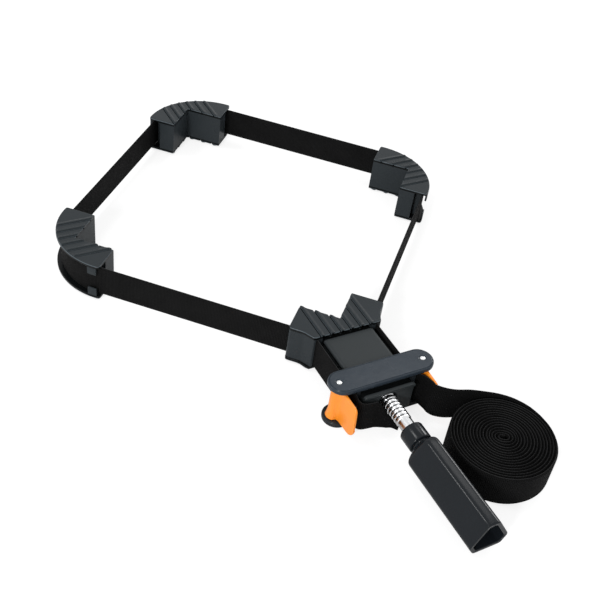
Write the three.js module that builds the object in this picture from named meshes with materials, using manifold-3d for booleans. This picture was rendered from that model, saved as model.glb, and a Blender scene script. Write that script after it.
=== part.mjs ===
import * as THREE from 'three';
import { mergeVertices } from 'three/addons/utils/BufferGeometryUtils.js';
import Module from 'manifold-3d';

// Four corner band clamp with a screw spindle, all sizes in millimetres.
// X runs across the clamp, Y from the handle to the far corner, Z up from the table.
// Everything is placed from the working corner of the head jaw; the last lines move the
// origin to the foot of the yoke.

const wasm = await Module();
wasm.setup();

// Shared clearances
const CLEAR = 0.3;
const CUT = 1;

// The framed work: lengths of the two edges that meet at the head jaw
const LEFT_EDGE = 205;
const RIGHT_EDGE = 211;

// Webbing band
const BAND_WIDTH = 25;
const BAND_THICK = 1.5;

// Corner jaws and the parts of them that the head jaw shares
const RIB_HEIGHT = 1.8;
const RIB_PITCH = 7.8;
const RIB_PAIRS = 3;
const RIB_END = 1.5;
// Across a rib from its steep side to its long slope: place, and share of its height
const RIB_SECTION = [
  [-1.7, 0], [-1.55, 0.75], [-1.1, 1], [0.1, 1], [1.3, 0.65], [2.5, 0.28], [3.9, 0],
];
const FLANGE = 2.3;
const JAW_REACH = 22;
const RIM_RISE = 12.4;
const RIM_RADIUS = 51;
const RIM_OVERHANG = 3.3;
const RIM_FILLET = 2.5;
const CORE_END = 13;
const POCKET_DEPTH = 8;
const HOOK_LENGTH = 7;
const HOOK_HEIGHT = 6.5;
const HOOK_THICK = 1.5;
const SEAM_INSET = 1.5;
const SEAM_LEAD = 2.3;

// Head jaw
const HEAD_SIDE = 24.6;
const HEAD_CHEEK = 18.5;
const HEAD_REAR = 12.3;
const HEAD_REAR_HALF = 26.6;
const HEAD_REAR_FILLET = 1;
const CHEEK_FILLET = 12;
const HEAD_FOOT = 1.5;
const HEAD_RIB_END = 0.3;
const PASS_BEND = 8;
const V_WALL = 3;

// Neck housing
const NECK_HALF = 19.7;
const NECK_LENGTH = 65.9;
const NECK_BOTTOM = 5;
const NECK_HEIGHT = 23.7;
const NECK_WALL = 3;
const NECK_LIP = 1.5;
const NECK_FILLET = 2;

// Spindle, nut and thrust washer
const SPINDLE_Z = 19.3;
const THREAD_RADIUS = 5.5;
const THREAD_SHOWN = 21.6;
const SHANK_SHOWN = 7.5;
const SHANK_RADIUS = 5;
const SHANK_IN_HANDLE = 24;
const SPINDLE_CHAMFER = 1;
const WASHER_RADIUS = 5.9;
const WASHER_THICK = 2;
const MOUTH_CLEAR = 1;
const NUT_LENGTH = 12;
const NUT_BAR_HEIGHT = 8;

// Yoke, pads, pins and levers
const YOKE_INSET = 13.1;
const YOKE_END = 7.4;
const YOKE_WIDTH = 20;
const YOKE_PLATE = 3.8;
const YOKE_GAP = 27.2;
const YOKE_EDGE = 1;
const YOKE_TIGHTEN = 3;
const YOKE_LOOSEN = 30;
const PAD_LENGTH = 17;
const PIN_OUT = 32.3;
const PIN_RADIUS = 2.5;
const PIN_DOME = 0.4;
const LEG_OUT = 24.7;
const CAM_RADIUS = 4.4;
const CAM_LOBE_POWER = 1.5;
const TAB_REACH = 24.6;
const TAB_ROOT_OUT = 0.6;
const TAB_TIP_OUT = -0.6;
const TAB_ROOT = 2.4;
const TAB_TIP = 1.3;
const TAB_RAKE = 1.6;
const TAB_TOP_ROUND = 3.5;
const TAB_FOOT_ROUND = 7;
const TAB_FILLET = 0.5;

// Handle
const COLLAR_LENGTH = 12.8;
const COLLAR_RADIUS = 8.2;
const COLLAR_ROUND = 1;
const HANDLE_NECK = 7;
const HANDLE_NECK_LENGTH = 2.2;
const SHOULDER_LENGTH = 6;
const GRIP_LENGTH = 68;
const HANDLE_FLAT = 10.6;
const HANDLE_RIDGE = 14;
const HANDLE_FILLET = 1.6;
const HANDLE_WALL = 2.6;
const HANDLE_HOLLOW = 52;
const HANDLE_LIP = 1.2;

// Band beyond the cams: the short tail, the long tail and the roll
const SEAM_UNDER = 7.3;
const ROLL_X = 50.6;
const ROLL_BEHIND = 72.3;
const ROLL_RADIUS = 35;
const ROLL_PITCH = 2.06;
const ROLL_TURNS = 16;
const ROLL_FLAT_SHARE = 0.07;
const TIP_CUT = 12.6;

// Counts
const FILLET_STEPS = 3;
const ARC_STEPS = 24;
const ROUND_STEPS = 32;
const TURN_STEPS = 24;

// Heights
const CORE_BOTTOM = RIB_HEIGHT + FLANGE;
const BAND_BOTTOM = CORE_BOTTOM + CLEAR;
const BAND_TOP = BAND_BOTTOM + BAND_WIDTH;
const CORE_TOP = BAND_TOP + CLEAR;
const BODY_TOP = CORE_TOP + FLANGE;
const RIB_TOP = BODY_TOP + RIB_HEIGHT;

// Plan sizes of the band's path
const ROOT2 = Math.SQRT2;
const RIM_CENTRE = RIM_RISE - RIM_RADIUS;
const BAND_OUTER = RIM_RADIUS - RIM_OVERHANG;
const BAND_MIDDLE = BAND_OUTER - BAND_THICK / 2;
const BEARING = BAND_OUTER - BAND_THICK - CLEAR;
const RUN_OUT = BAND_OUTER + RIM_CENTRE / ROOT2;
const RUN_MIDDLE = RUN_OUT - BAND_THICK / 2;
const RUN_SEAM = SEAM_LEAD - RIM_CENTRE / ROOT2;
const HEAD_SEAM = JAW_REACH * ROOT2 - SEAM_INSET;
const LEG_MIDDLE = LEG_OUT - BAND_THICK / 2;
const NECK_FRONT = V_WALL * ROOT2 + CLEAR;
const NECK_REAR = NECK_FRONT + NECK_LENGTH;
const NECK_TOP = NECK_BOTTOM + NECK_HEIGHT;

// Places along the spindle, all counted back from the head's working corner
const YOKE_BACK = NECK_REAR - YOKE_INSET;
const LEG_SEAM = YOKE_BACK - SEAM_UNDER;
const THREAD_END = NECK_REAR + THREAD_SHOWN;
const COLLAR_START = THREAD_END + SHANK_SHOWN;
const COLLAR_END = COLLAR_START + COLLAR_LENGTH;
const HANDLE_NECK_END = COLLAR_END + HANDLE_NECK_LENGTH;
const SHOULDER_END = HANDLE_NECK_END + SHOULDER_LENGTH;
const HANDLE_END = SHOULDER_END + GRIP_LENGTH;
const ROLL_BACK = YOKE_BACK + ROLL_BEHIND;
const REST_ANGLE = THREE.MathUtils.degToRad(92);

const v2 = (x, y) => new THREE.Vector2(x, y);
const mirror = (points) => points.map((p) => v2(-p.x, p.y)).reverse();

// Solids
function solid(geometry) {
  const g = geometry.index ? geometry.toNonIndexed() : geometry.clone();
  for (const name of Object.keys(g.attributes)) {
    if (name !== 'position') g.deleteAttribute(name);
  }
  const merged = mergeVertices(g);
  const mesh = new wasm.Mesh({
    numProp: 3,
    vertProperties: new Float32Array(merged.attributes.position.array),
    triVerts: new Uint32Array(merged.index.array),
  });
  return new wasm.Manifold(mesh);
}

function geometryOf(body) {
  const mesh = body.getMesh();
  const g = new THREE.BufferGeometry();
  g.setAttribute('position', new THREE.BufferAttribute(new Float32Array(mesh.vertProperties), 3));
  g.setIndex(new THREE.BufferAttribute(new Uint32Array(mesh.triVerts), 1));
  return g;
}

const join = (bodies) => bodies.reduce((a, b) => a.add(b));
const cutAll = (body, tools) => tools.reduce((a, b) => a.subtract(b), body);

function prism(points, low, high, holes = []) {
  const shape = new THREE.Shape(points);
  shape.holes = holes.map((h) => new THREE.Path(h));
  const g = new THREE.ExtrudeGeometry(shape, { depth: high - low, bevelEnabled: false });
  g.translate(0, 0, low);
  return g;
}

// A prism whose outline lies in X and Z and which runs backwards along Y
function prismBack(points, front, back) {
  const g = prism(points, front, back);
  g.rotateX(Math.PI / 2);
  return g;
}

// A plate with its long edges rounded
function roundedPlate(points, low, high, edge) {
  const shape = new THREE.Shape(points);
  const options = { depth: high - low - 2 * edge, bevelThickness: edge, bevelSize: edge };
  options.bevelOffset = -edge;
  options.bevelSegments = FILLET_STEPS;
  const g = new THREE.ExtrudeGeometry(shape, options);
  g.translate(0, 0, low + edge);
  return g;
}

function block(x0, x1, y0, y1, z0, z1) {
  const g = new THREE.BoxGeometry(x1 - x0, y1 - y0, z1 - z0);
  g.translate((x0 + x1) / 2, (y0 + y1) / 2, (z0 + z1) / 2);
  return g;
}

function upright(radius, low, high) {
  const g = new THREE.CylinderGeometry(radius, radius, high - low, ROUND_STEPS);
  g.rotateX(Math.PI / 2);
  g.translate(0, 0, (low + high) / 2);
  return g;
}

// A turned piece along the spindle: pairs of radius and distance behind the head corner
function turned(profile) {
  const points = profile.map(([radius, back]) => v2(radius, -back)).reverse();
  const g = new THREE.LatheGeometry(points, ROUND_STEPS);
  g.translate(0, 0, SPINDLE_Z);
  return g;
}

// Replaces each corner of an outline or open path by an arc of its radius
function rounded(corners, radii, closed = true) {
  const out = [];
  const count = corners.length;
  corners.forEach((p, i) => {
    const radius = Array.isArray(radii) ? radii[i] : radii;
    if (radius === 0 || (!closed && (i === 0 || i === count - 1))) {
      out.push(p.clone());
      return;
    }
    const a = corners[(i + count - 1) % count].clone().sub(p);
    const b = corners[(i + 1) % count].clone().sub(p);
    const half = Math.acos(THREE.MathUtils.clamp(a.dot(b) / a.length() / b.length(), -1, 1)) / 2;
    const reach = Math.min(radius / Math.tan(half), a.length() / 2, b.length() / 2);
    const r = reach * Math.tan(half);
    const from = p.clone().add(a.setLength(reach));
    const to = p.clone().add(b.setLength(reach));
    const mid = from.clone().add(to).divideScalar(2).sub(p);
    const centre = p.clone().add(mid.setLength(r / Math.sin(half)));
    const start = from.clone().sub(centre).angle();
    let turn = to.clone().sub(centre).angle() - start;
    if (turn > Math.PI) turn -= 2 * Math.PI;
    if (turn < -Math.PI) turn += 2 * Math.PI;
    for (let k = 0; k <= FILLET_STEPS; k += 1) {
      const t = start + (turn * k) / FILLET_STEPS;
      out.push(v2(centre.x + r * Math.cos(t), centre.y + r * Math.sin(t)));
    }
  });
  return out;
}

function arc(cx, cy, radius, start, end, steps) {
  return Array.from({ length: steps + 1 }, (_, i) => {
    const t = start + ((end - start) * i) / steps;
    return v2(cx + radius * Math.cos(t), cy + radius * Math.sin(t));
  });
}

// Where a line from p along d leaves the circle about (0, centre)
function leaves(p, d, centre, radius) {
  const q = v2(p.x, p.y - centre);
  const b = q.dot(d);
  return p.clone().add(d.clone().multiplyScalar(-b + Math.sqrt(b * b - q.lengthSq() + radius * radius)));
}

// A band standing on edge along a path, with its own foot and head heights at every point
function ribbon(path, lows, highs, closedEnds = true) {
  const n = path.length;
  const low = (i) => (Array.isArray(lows) ? lows[i] : lows);
  const high = (i) => (Array.isArray(highs) ? highs[i] : highs);
  const vertices = [];
  path.forEach((p, i) => {
    const d = path[Math.min(i + 1, n - 1)].clone().sub(path[Math.max(i - 1, 0)]).normalize();
    const side = v2(-d.y, d.x).multiplyScalar(BAND_THICK / 2);
    vertices.push(p.x + side.x, p.y + side.y, low(i), p.x + side.x, p.y + side.y, high(i));
    vertices.push(p.x - side.x, p.y - side.y, high(i), p.x - side.x, p.y - side.y, low(i));
  });
  const index = [];
  for (let i = 0; i < n - 1; i += 1) {
    for (let k = 0; k < 4; k += 1) {
      const a = 4 * i + k;
      const b = 4 * i + ((k + 1) % 4);
      index.push(a, b, b + 4, a, b + 4, a + 4);
    }
  }
  if (closedEnds) {
    const e = 4 * (n - 1);
    index.push(0, 2, 1, 0, 3, 2, e, e + 1, e + 2, e, e + 2, e + 3);
  }
  const g = new THREE.BufferGeometry();
  g.setAttribute('position', new THREE.Float32BufferAttribute(vertices, 3));
  g.setIndex(index);
  return g;
}

// Lofts rings of equal count and closes both ends
function loft(rings) {
  const n = rings[0].length;
  const vertices = rings.flat().flatMap((p) => [p.x, p.y, p.z]);
  const index = [];
  for (let i = 0; i < rings.length - 1; i += 1) {
    for (let k = 0; k < n; k += 1) {
      const a = i * n + k;
      const b = i * n + ((k + 1) % n);
      index.push(a, b, b + n, a, b + n, a + n);
    }
  }
  const last = (rings.length - 1) * n;
  for (let k = 1; k < n - 1; k += 1) {
    index.push(0, k + 1, k, last, last + k, last + k + 1);
  }
  const g = new THREE.BufferGeometry();
  g.setAttribute('position', new THREE.Float32BufferAttribute(vertices, 3));
  g.setIndex(index);
  return g;
}

// Materials
const finish = (color, roughness, metalness) => (
  new THREE.MeshStandardMaterial({ color, roughness, metalness })
);
const slate = finish(0x3a4149, 0.62, 0);
const housing = finish(0x44484b, 0.6, 0);
const plateGrey = finish(0x4d545c, 0.45, 0);
const gripBlack = finish(0x2d3135, 0.4, 0);
const orange = finish(0xf08028, 0.42, 0);
const zinc = finish(0xc8cacc, 0.28, 1);
const webbing = finish(0x1b1c1e, 0.9, 0);

const clamp = new THREE.Group();

function put(parent, name, geometry, material) {
  const mesh = new THREE.Mesh(geometry, material);
  mesh.name = name;
  parent.add(mesh);
  return mesh;
}

// Six raised ribs above and below a jaw, clipped to its plan and kept out of the band's channel
function ribs(plan, front, back) {
  const bars = [];
  const rise = RIB_HEIGHT;
  for (let i = 0; i < 2 * RIB_PAIRS; i += 1) {
    const x = (i - RIB_PAIRS + 1 / 2) * RIB_PITCH;
    const outline = [
      ...RIB_SECTION.map(([across, share]) => v2(x + across, rise - share * rise)),
      ...RIB_SECTION.map(([across, share]) => v2(x + across, BODY_TOP + share * rise)).reverse(),
    ];
    bars.push(solid(prismBack(outline, front, back)));
  }
  const reach = HEAD_REAR_HALF + RIM_RADIUS;
  const channel = solid(block(
    -reach, reach, -reach, reach, RIB_HEIGHT + FLANGE / 2, BODY_TOP - FLANGE / 2,
  ));
  const hold = solid(prism(plan, -CUT, RIB_TOP + CUT));
  return join(bars).intersect(hold).subtract(channel);
}

// Corner jaw: two flanges, a core with the notch for the work and the arc for the band
function flangeHalf(radius) {
  const k = 2 * JAW_REACH - RIM_FILLET * ROOT2;
  const b = k - RIM_CENTRE;
  const q = (k * k + RIM_CENTRE * RIM_CENTRE - (radius - RIM_FILLET) ** 2) / 2;
  const t = (-b + Math.sqrt(b * b - 4 * q)) / 2;
  const centre = v2(t + k, t);
  const turn = Math.atan2(t - RIM_CENTRE, t + k);
  return {
    corner: arc(centre.x, centre.y, RIM_FILLET, -Math.PI / 4, turn, FILLET_STEPS),
    turn,
  };
}

function jawPlan(radius) {
  const { corner, turn } = flangeHalf(radius);
  const right = [v2(JAW_REACH, -JAW_REACH), ...corner];
  const rim = arc(0, RIM_CENTRE, radius, turn, Math.PI - turn, ARC_STEPS).slice(1, -1);
  return [v2(0, 0), ...right, ...rim, ...mirror(right)];
}

function cornerJaw() {
  const plan = jawPlan(RIM_RADIUS);
  const tip = v2(JAW_REACH, -JAW_REACH);
  const out = v2(1, 1).normalize();
  const along = v2(-1, 1).normalize();
  const wall = tip.clone().add(out.clone().multiplyScalar(CORE_END));
  const inner = wall.clone().add(along.multiplyScalar(POCKET_DEPTH));
  const edge = leaves(inner, out, RIM_CENTRE, BEARING);
  const turn = Math.atan2(edge.y - RIM_CENTRE, edge.x);
  const half = [tip, wall, inner, edge];
  const bearing = arc(0, RIM_CENTRE, BEARING, turn, Math.PI - turn, ARC_STEPS).slice(1, -1);
  const core = [v2(0, 0), ...half, ...bearing, ...mirror(half)];
  const hooks = [];
  const start = flangeHalf(RIM_RADIUS).turn;
  const span = HOOK_LENGTH / RIM_RADIUS;
  for (const from of [start, Math.PI - start - span]) {
    const outer = arc(0, RIM_CENTRE, RIM_RADIUS, from, from + span, FILLET_STEPS);
    const innerArc = arc(0, RIM_CENTRE, RIM_RADIUS - HOOK_THICK, from + span, from, FILLET_STEPS);
    const outline = [...outer, ...innerArc];
    hooks.push(solid(prism(outline, CORE_TOP - HOOK_HEIGHT, CORE_TOP + FLANGE / 2)));
    hooks.push(solid(prism(outline, CORE_BOTTOM - FLANGE / 2, CORE_BOTTOM + HOOK_HEIGHT)));
  }
  return geometryOf(join([
    solid(prism(plan, RIB_HEIGHT, CORE_BOTTOM)),
    solid(prism(plan, CORE_TOP, BODY_TOP)),
    solid(prism(core, CORE_BOTTOM - FLANGE / 2, CORE_TOP + FLANGE / 2)),
    ribs(jawPlan(RIM_RADIUS - RIB_END), -RIM_RISE, 2 * JAW_REACH),
    ...hooks,
  ]));
}

function bandArc() {
  const straight = RUN_SEAM + RIM_CENTRE / ROOT2;
  const path = arc(0, RIM_CENTRE, BAND_MIDDLE, Math.PI / 4, (3 * Math.PI) / 4, ARC_STEPS);
  const first = path[0].clone().add(v2(1, -1).setLength(straight));
  const last = path[path.length - 1].clone().add(v2(-1, -1).setLength(straight));
  return ribbon([first, ...path, last], BAND_BOTTOM, BAND_TOP);
}

const corners = {
  left: { x: -LEFT_EDGE / ROOT2, y: LEFT_EDGE / ROOT2, turn: Math.PI / 2 },
  far: { x: (RIGHT_EDGE - LEFT_EDGE) / ROOT2, y: (LEFT_EDGE + RIGHT_EDGE) / ROOT2, turn: 0 },
  right: { x: RIGHT_EDGE / ROOT2, y: RIGHT_EDGE / ROOT2, turn: -Math.PI / 2 },
};
for (const [side, place] of Object.entries(corners)) {
  const corner = new THREE.Group();
  corner.position.set(place.x, place.y, 0);
  corner.rotation.z = place.turn;
  put(corner, `corner_jaw_${side}`, cornerJaw(), slate);
  put(corner, `band_arc_${side}`, bandArc(), webbing);
  clamp.add(corner);
}

// Straight runs of the band, each in a group that starts at a corner and looks to the next
function run(name, x, y, turn, edge, nearSeam, farSeam) {
  const side = new THREE.Group();
  side.position.set(x, y, 0);
  side.rotation.z = turn;
  const from = nearSeam + CLEAR;
  const to = edge - farSeam - CLEAR;
  put(side, name, block(from, to, RUN_OUT - BAND_THICK, RUN_OUT, BAND_BOTTOM, BAND_TOP), webbing);
  clamp.add(side);
}
run('band_run_left', 0, 0, (3 * Math.PI) / 4, LEFT_EDGE, HEAD_SEAM, RUN_SEAM);
run(
  'band_run_far_left', corners.left.x, corners.left.y, Math.PI / 4, RIGHT_EDGE, RUN_SEAM, RUN_SEAM,
);
run(
  'band_run_far_right', corners.far.x, corners.far.y, -Math.PI / 4, LEFT_EDGE, RUN_SEAM, RUN_SEAM,
);
run(
  'band_run_right', corners.right.x, corners.right.y, (-3 * Math.PI) / 4, RIGHT_EDGE,
  RUN_SEAM, HEAD_SEAM,
);

// Head jaw, with the two passes that turn the band back along the neck
const onWing = (along, out) => v2((along + out) / ROOT2, (along - out) / ROOT2);
const bend = onWing(LEG_MIDDLE * ROOT2 - RUN_MIDDLE, RUN_MIDDLE);

function headPlan(foot) {
  const half = [
    v2(JAW_REACH, JAW_REACH),
    onWing(JAW_REACH * ROOT2, HEAD_SIDE + foot / 2),
    onWing(HEAD_CHEEK, HEAD_SIDE + foot / 2),
    v2(HEAD_REAR_HALF + foot, -HEAD_REAR),
  ];
  const radii = [0, RIM_FILLET, CHEEK_FILLET, HEAD_REAR_FILLET];
  const all = [v2(0, 0), ...half, ...mirror(half)];
  return rounded(all, [0, ...radii, ...radii.slice().reverse()]);
}

function headPath(from, to) {
  return rounded([onWing(from, RUN_MIDDLE), bend, v2(LEG_MIDDLE, -to)], PASS_BEND, false);
}

function strip(path, half) {
  const n = path.length;
  const sides = [1, -1].map((s) => path.map((p, i) => {
    const d = path[Math.min(i + 1, n - 1)].clone().sub(path[Math.max(i - 1, 0)]).normalize();
    return v2(p.x - s * half * d.y, p.y + s * half * d.x);
  }));
  return [...sides[0], ...sides[1].reverse()];
}

function headJaw() {
  const slot = strip(headPath(JAW_REACH * ROOT2 + CUT, HEAD_REAR + CUT), BAND_THICK / 2 + CLEAR);
  const socketHalf = NECK_HALF + CLEAR;
  const body = join([
    solid(prism(headPlan(0), CORE_BOTTOM - FLANGE / 2, BODY_TOP)),
    solid(prism(headPlan(HEAD_FOOT), RIB_HEIGHT, CORE_BOTTOM)),
    ribs(headPlan(0), -JAW_REACH, HEAD_REAR - HEAD_RIB_END),
  ]);
  return geometryOf(cutAll(body, [
    solid(prism(slot, CORE_BOTTOM, CORE_TOP)),
    solid(prism(mirror(slot), CORE_BOTTOM, CORE_TOP)),
    solid(block(
      -socketHalf, socketHalf, -HEAD_REAR - CUT, CLEAR - NECK_FRONT,
      NECK_BOTTOM - CLEAR, NECK_TOP + CLEAR,
    )),
  ]));
}
put(clamp, 'head_jaw', headJaw(), slate);

const passRear = HEAD_REAR - SEAM_INSET;
const rightPass = headPath(HEAD_SEAM, passRear);
put(clamp, 'band_head_pass_right', ribbon(rightPass, BAND_BOTTOM, BAND_TOP), webbing);
put(clamp, 'band_head_pass_left', ribbon(mirror(rightPass), BAND_BOTTOM, BAND_TOP), webbing);

// Legs of the band between the head and the yoke
for (const [side, sign] of [['left', -1], ['right', 1]]) {
  const path = [v2(sign * LEG_MIDDLE, -passRear - CLEAR), v2(sign * LEG_MIDDLE, CLEAR - LEG_SEAM)];
  put(clamp, `band_leg_${side}`, ribbon(path, BAND_BOTTOM, BAND_TOP), webbing);
}

// Neck housing: a box open at its rear mouth and along both sides for the nut
const NUT_HALF = NUT_LENGTH / 2;
const slotRear = YOKE_BACK + NUT_HALF + YOKE_TIGHTEN + CLEAR;
const slotFront = YOKE_BACK - NUT_HALF - YOKE_LOOSEN - CLEAR;
const CAVITY_TOP = NECK_TOP - NECK_WALL;
const mouthRadius = THREAD_RADIUS + MOUTH_CLEAR;

function neckHousing() {
  const low = NECK_BOTTOM;
  const section = rounded([
    v2(-NECK_HALF, low), v2(NECK_HALF, low), v2(NECK_HALF, NECK_TOP), v2(-NECK_HALF, NECK_TOP),
  ], NECK_FILLET);
  const inside = NECK_HALF - NECK_WALL;
  const barHalf = NUT_BAR_HEIGHT / 2 + CLEAR;
  const shell = join([
    solid(prismBack(section, NECK_FRONT, NECK_REAR)),
    solid(prismBack(section, NECK_REAR - NECK_WALL, NECK_REAR + NECK_LIP)).intersect(
      solid(block(-NECK_HALF, NECK_HALF, -NECK_REAR - 2 * NECK_LIP, -NECK_FRONT, CAVITY_TOP, RIB_TOP)),
    ),
  ]);
  return geometryOf(cutAll(shell, [
    solid(block(
      -inside, inside, NECK_WALL - NECK_REAR, -NECK_FRONT - NECK_WALL, low + NECK_WALL, CAVITY_TOP,
    )),
    solid(block(
      -NECK_HALF - CUT, NECK_HALF + CUT, -slotRear, -slotFront,
      SPINDLE_Z - barHalf, SPINDLE_Z + barHalf,
    )),
    solid(turned([
      [0, NECK_REAR - NECK_WALL - CUT], [mouthRadius, NECK_REAR - NECK_WALL - CUT],
      [mouthRadius, NECK_REAR + CUT], [0, NECK_REAR + CUT],
    ])),
  ]));
}
put(clamp, 'neck_housing', neckHousing(), housing);

// Thrust washer and spindle
const washerFront = NECK_FRONT + NECK_WALL + CLEAR;
const spindleFront = washerFront + WASHER_THICK + CLEAR;
put(clamp, 'thrust_washer', turned([
  [0, washerFront], [WASHER_RADIUS, washerFront],
  [WASHER_RADIUS, washerFront + WASHER_THICK], [0, washerFront + WASHER_THICK],
]), zinc);

const spindleEnd = COLLAR_START + SHANK_IN_HANDLE;
const CREST = SPINDLE_CHAMFER;
put(clamp, 'spindle', turned([
  [0, spindleFront], [THREAD_RADIUS - CREST, spindleFront],
  [THREAD_RADIUS, spindleFront + CREST], [THREAD_RADIUS, THREAD_END - CREST],
  [SHANK_RADIUS, THREAD_END], [SHANK_RADIUS, spindleEnd], [0, spindleEnd],
]), zinc);

// Handle: a turned collar and a hollow three sided grip with broad ridges
function gripRing(shrink, back) {
  const ridge = HANDLE_RIDGE - shrink;
  const flat = HANDLE_FLAT - shrink;
  const corner = [];
  for (let i = 0; i < 3; i += 1) {
    const facing = REST_ANGLE + (2 * Math.PI * i) / 3;
    const side = (flat - ridge / 2) / Math.sin(Math.PI / 3);
    for (const s of [-1, 1]) {
      corner.push(v2(
        ridge * Math.cos(facing) - s * side * Math.sin(facing),
        ridge * Math.sin(facing) + s * side * Math.cos(facing),
      ));
    }
  }
  return rounded(corner, HANDLE_FILLET).map((p) => new THREE.Vector3(p.x, -back, SPINDLE_Z + p.y));
}

function roundRing(radius, back) {
  return gripRing(0, back).map((p) => {
    const t = Math.atan2(p.z - SPINDLE_Z, p.x);
    return new THREE.Vector3(radius * Math.cos(t), -back, SPINDLE_Z + radius * Math.sin(t));
  });
}

function handle() {
  const neckEnd = (COLLAR_END + HANDLE_NECK_END) / 2;
  const outer = loft([
    roundRing(COLLAR_RADIUS - COLLAR_ROUND, COLLAR_START),
    roundRing(COLLAR_RADIUS, COLLAR_START + COLLAR_ROUND),
    roundRing(COLLAR_RADIUS, COLLAR_END - COLLAR_ROUND),
    roundRing(HANDLE_NECK, COLLAR_END),
    roundRing(HANDLE_NECK, neckEnd),
    roundRing(COLLAR_RADIUS, HANDLE_NECK_END),
    gripRing(0, SHOULDER_END),
    gripRing(0, HANDLE_END - HANDLE_LIP),
    gripRing(HANDLE_LIP, HANDLE_END),
  ]);
  const hollow = loft([
    gripRing(HANDLE_WALL, HANDLE_END - HANDLE_HOLLOW),
    gripRing(HANDLE_WALL, HANDLE_END + CUT),
  ]);
  const bore = turned([
    [0, COLLAR_START - CUT], [SHANK_RADIUS + CLEAR, COLLAR_START - CUT],
    [SHANK_RADIUS + CLEAR, spindleEnd + CLEAR], [0, spindleEnd + CLEAR],
  ]);
  return geometryOf(cutAll(solid(outer), [solid(hollow), solid(bore)]));
}
put(clamp, 'handle', handle(), gripBlack);

// Yoke: two plates on the pins, with the nut between two pads
const yoke = new THREE.Group();
yoke.position.set(0, -YOKE_BACK, 0);
clamp.add(yoke);

const YOKE_TOP = YOKE_PLATE + YOKE_GAP;
const YOKE_HALF = PIN_OUT + YOKE_END;
function yokePlate(low) {
  const r = YOKE_WIDTH / 2;
  const x = YOKE_HALF - r;
  const outline = [
    ...arc(x, 0, r, -Math.PI / 2, Math.PI / 2, ARC_STEPS / 2),
    ...arc(-x, 0, r, Math.PI / 2, (3 * Math.PI) / 2, ARC_STEPS / 2),
  ];
  const body = solid(roundedPlate(outline, low, low + YOKE_PLATE, YOKE_EDGE));
  const holes = [-1, 1].map((s) => {
    const g = upright(PIN_RADIUS + CLEAR, low - CUT, low + YOKE_PLATE + CUT);
    return solid(g.translate(s * PIN_OUT, 0, 0));
  });
  return geometryOf(cutAll(body, holes));
}
put(yoke, 'yoke_top_plate', yokePlate(YOKE_TOP), plateGrey);
put(yoke, 'yoke_bottom_plate', yokePlate(0), plateGrey);

const padIn = NECK_HALF + CLEAR;
const padOut = LEG_OUT - BAND_THICK - CLEAR;
const barEnd = (padIn + padOut) / 2;
for (const [side, s] of [['left', -1], ['right', 1]]) {
  const half = PAD_LENGTH / 2;
  const barHalf = NUT_BAR_HEIGHT / 2 + CLEAR;
  const xs = [s * padIn, s * padOut].sort((a, b) => a - b);
  const pad = solid(block(xs[0], xs[1], -half, half, YOKE_PLATE + CLEAR, YOKE_TOP - CLEAR));
  const seat = [s * (padIn - CUT), s * (barEnd + CLEAR)].sort((a, b) => a - b);
  const socket = solid(block(
    seat[0], seat[1], -NUT_HALF - CLEAR, NUT_HALF + CLEAR, SPINDLE_Z - barHalf, SPINDLE_Z + barHalf,
  ));
  put(yoke, `clamp_pad_${side}`, geometryOf(pad.subtract(socket)), plateGrey);

  const pin = new THREE.LatheGeometry([
    v2(0, CLEAR), v2(PIN_RADIUS, CLEAR), v2(PIN_RADIUS, YOKE_TOP + YOKE_PLATE),
    v2(PIN_RADIUS - PIN_DOME, YOKE_TOP + YOKE_PLATE + PIN_DOME),
    v2(0, YOKE_TOP + YOKE_PLATE + PIN_DOME),
  ], ROUND_STEPS);
  pin.rotateX(Math.PI / 2);
  put(yoke, `pivot_pin_${side}`, pin, zinc).position.x = s * PIN_OUT;
}

function spindleNut() {
  const top = CAVITY_TOP - CLEAR;
  const bottom = 2 * SPINDLE_Z - top;
  const inside = NECK_HALF - NECK_WALL - CLEAR;
  const barHalf = NUT_BAR_HEIGHT / 2;
  const body = join([
    solid(block(-inside, inside, -NUT_HALF, NUT_HALF, bottom, top)),
    solid(block(-barEnd, barEnd, -NUT_HALF, NUT_HALF, SPINDLE_Z - barHalf, SPINDLE_Z + barHalf)),
  ]);
  const bore = turned([
    [0, -NUT_LENGTH], [THREAD_RADIUS + CLEAR, -NUT_LENGTH],
    [THREAD_RADIUS + CLEAR, NUT_LENGTH], [0, NUT_LENGTH],
  ]);
  return geometryOf(body.subtract(solid(bore)));
}
put(yoke, 'spindle_nut', spindleNut(), zinc);

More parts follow.
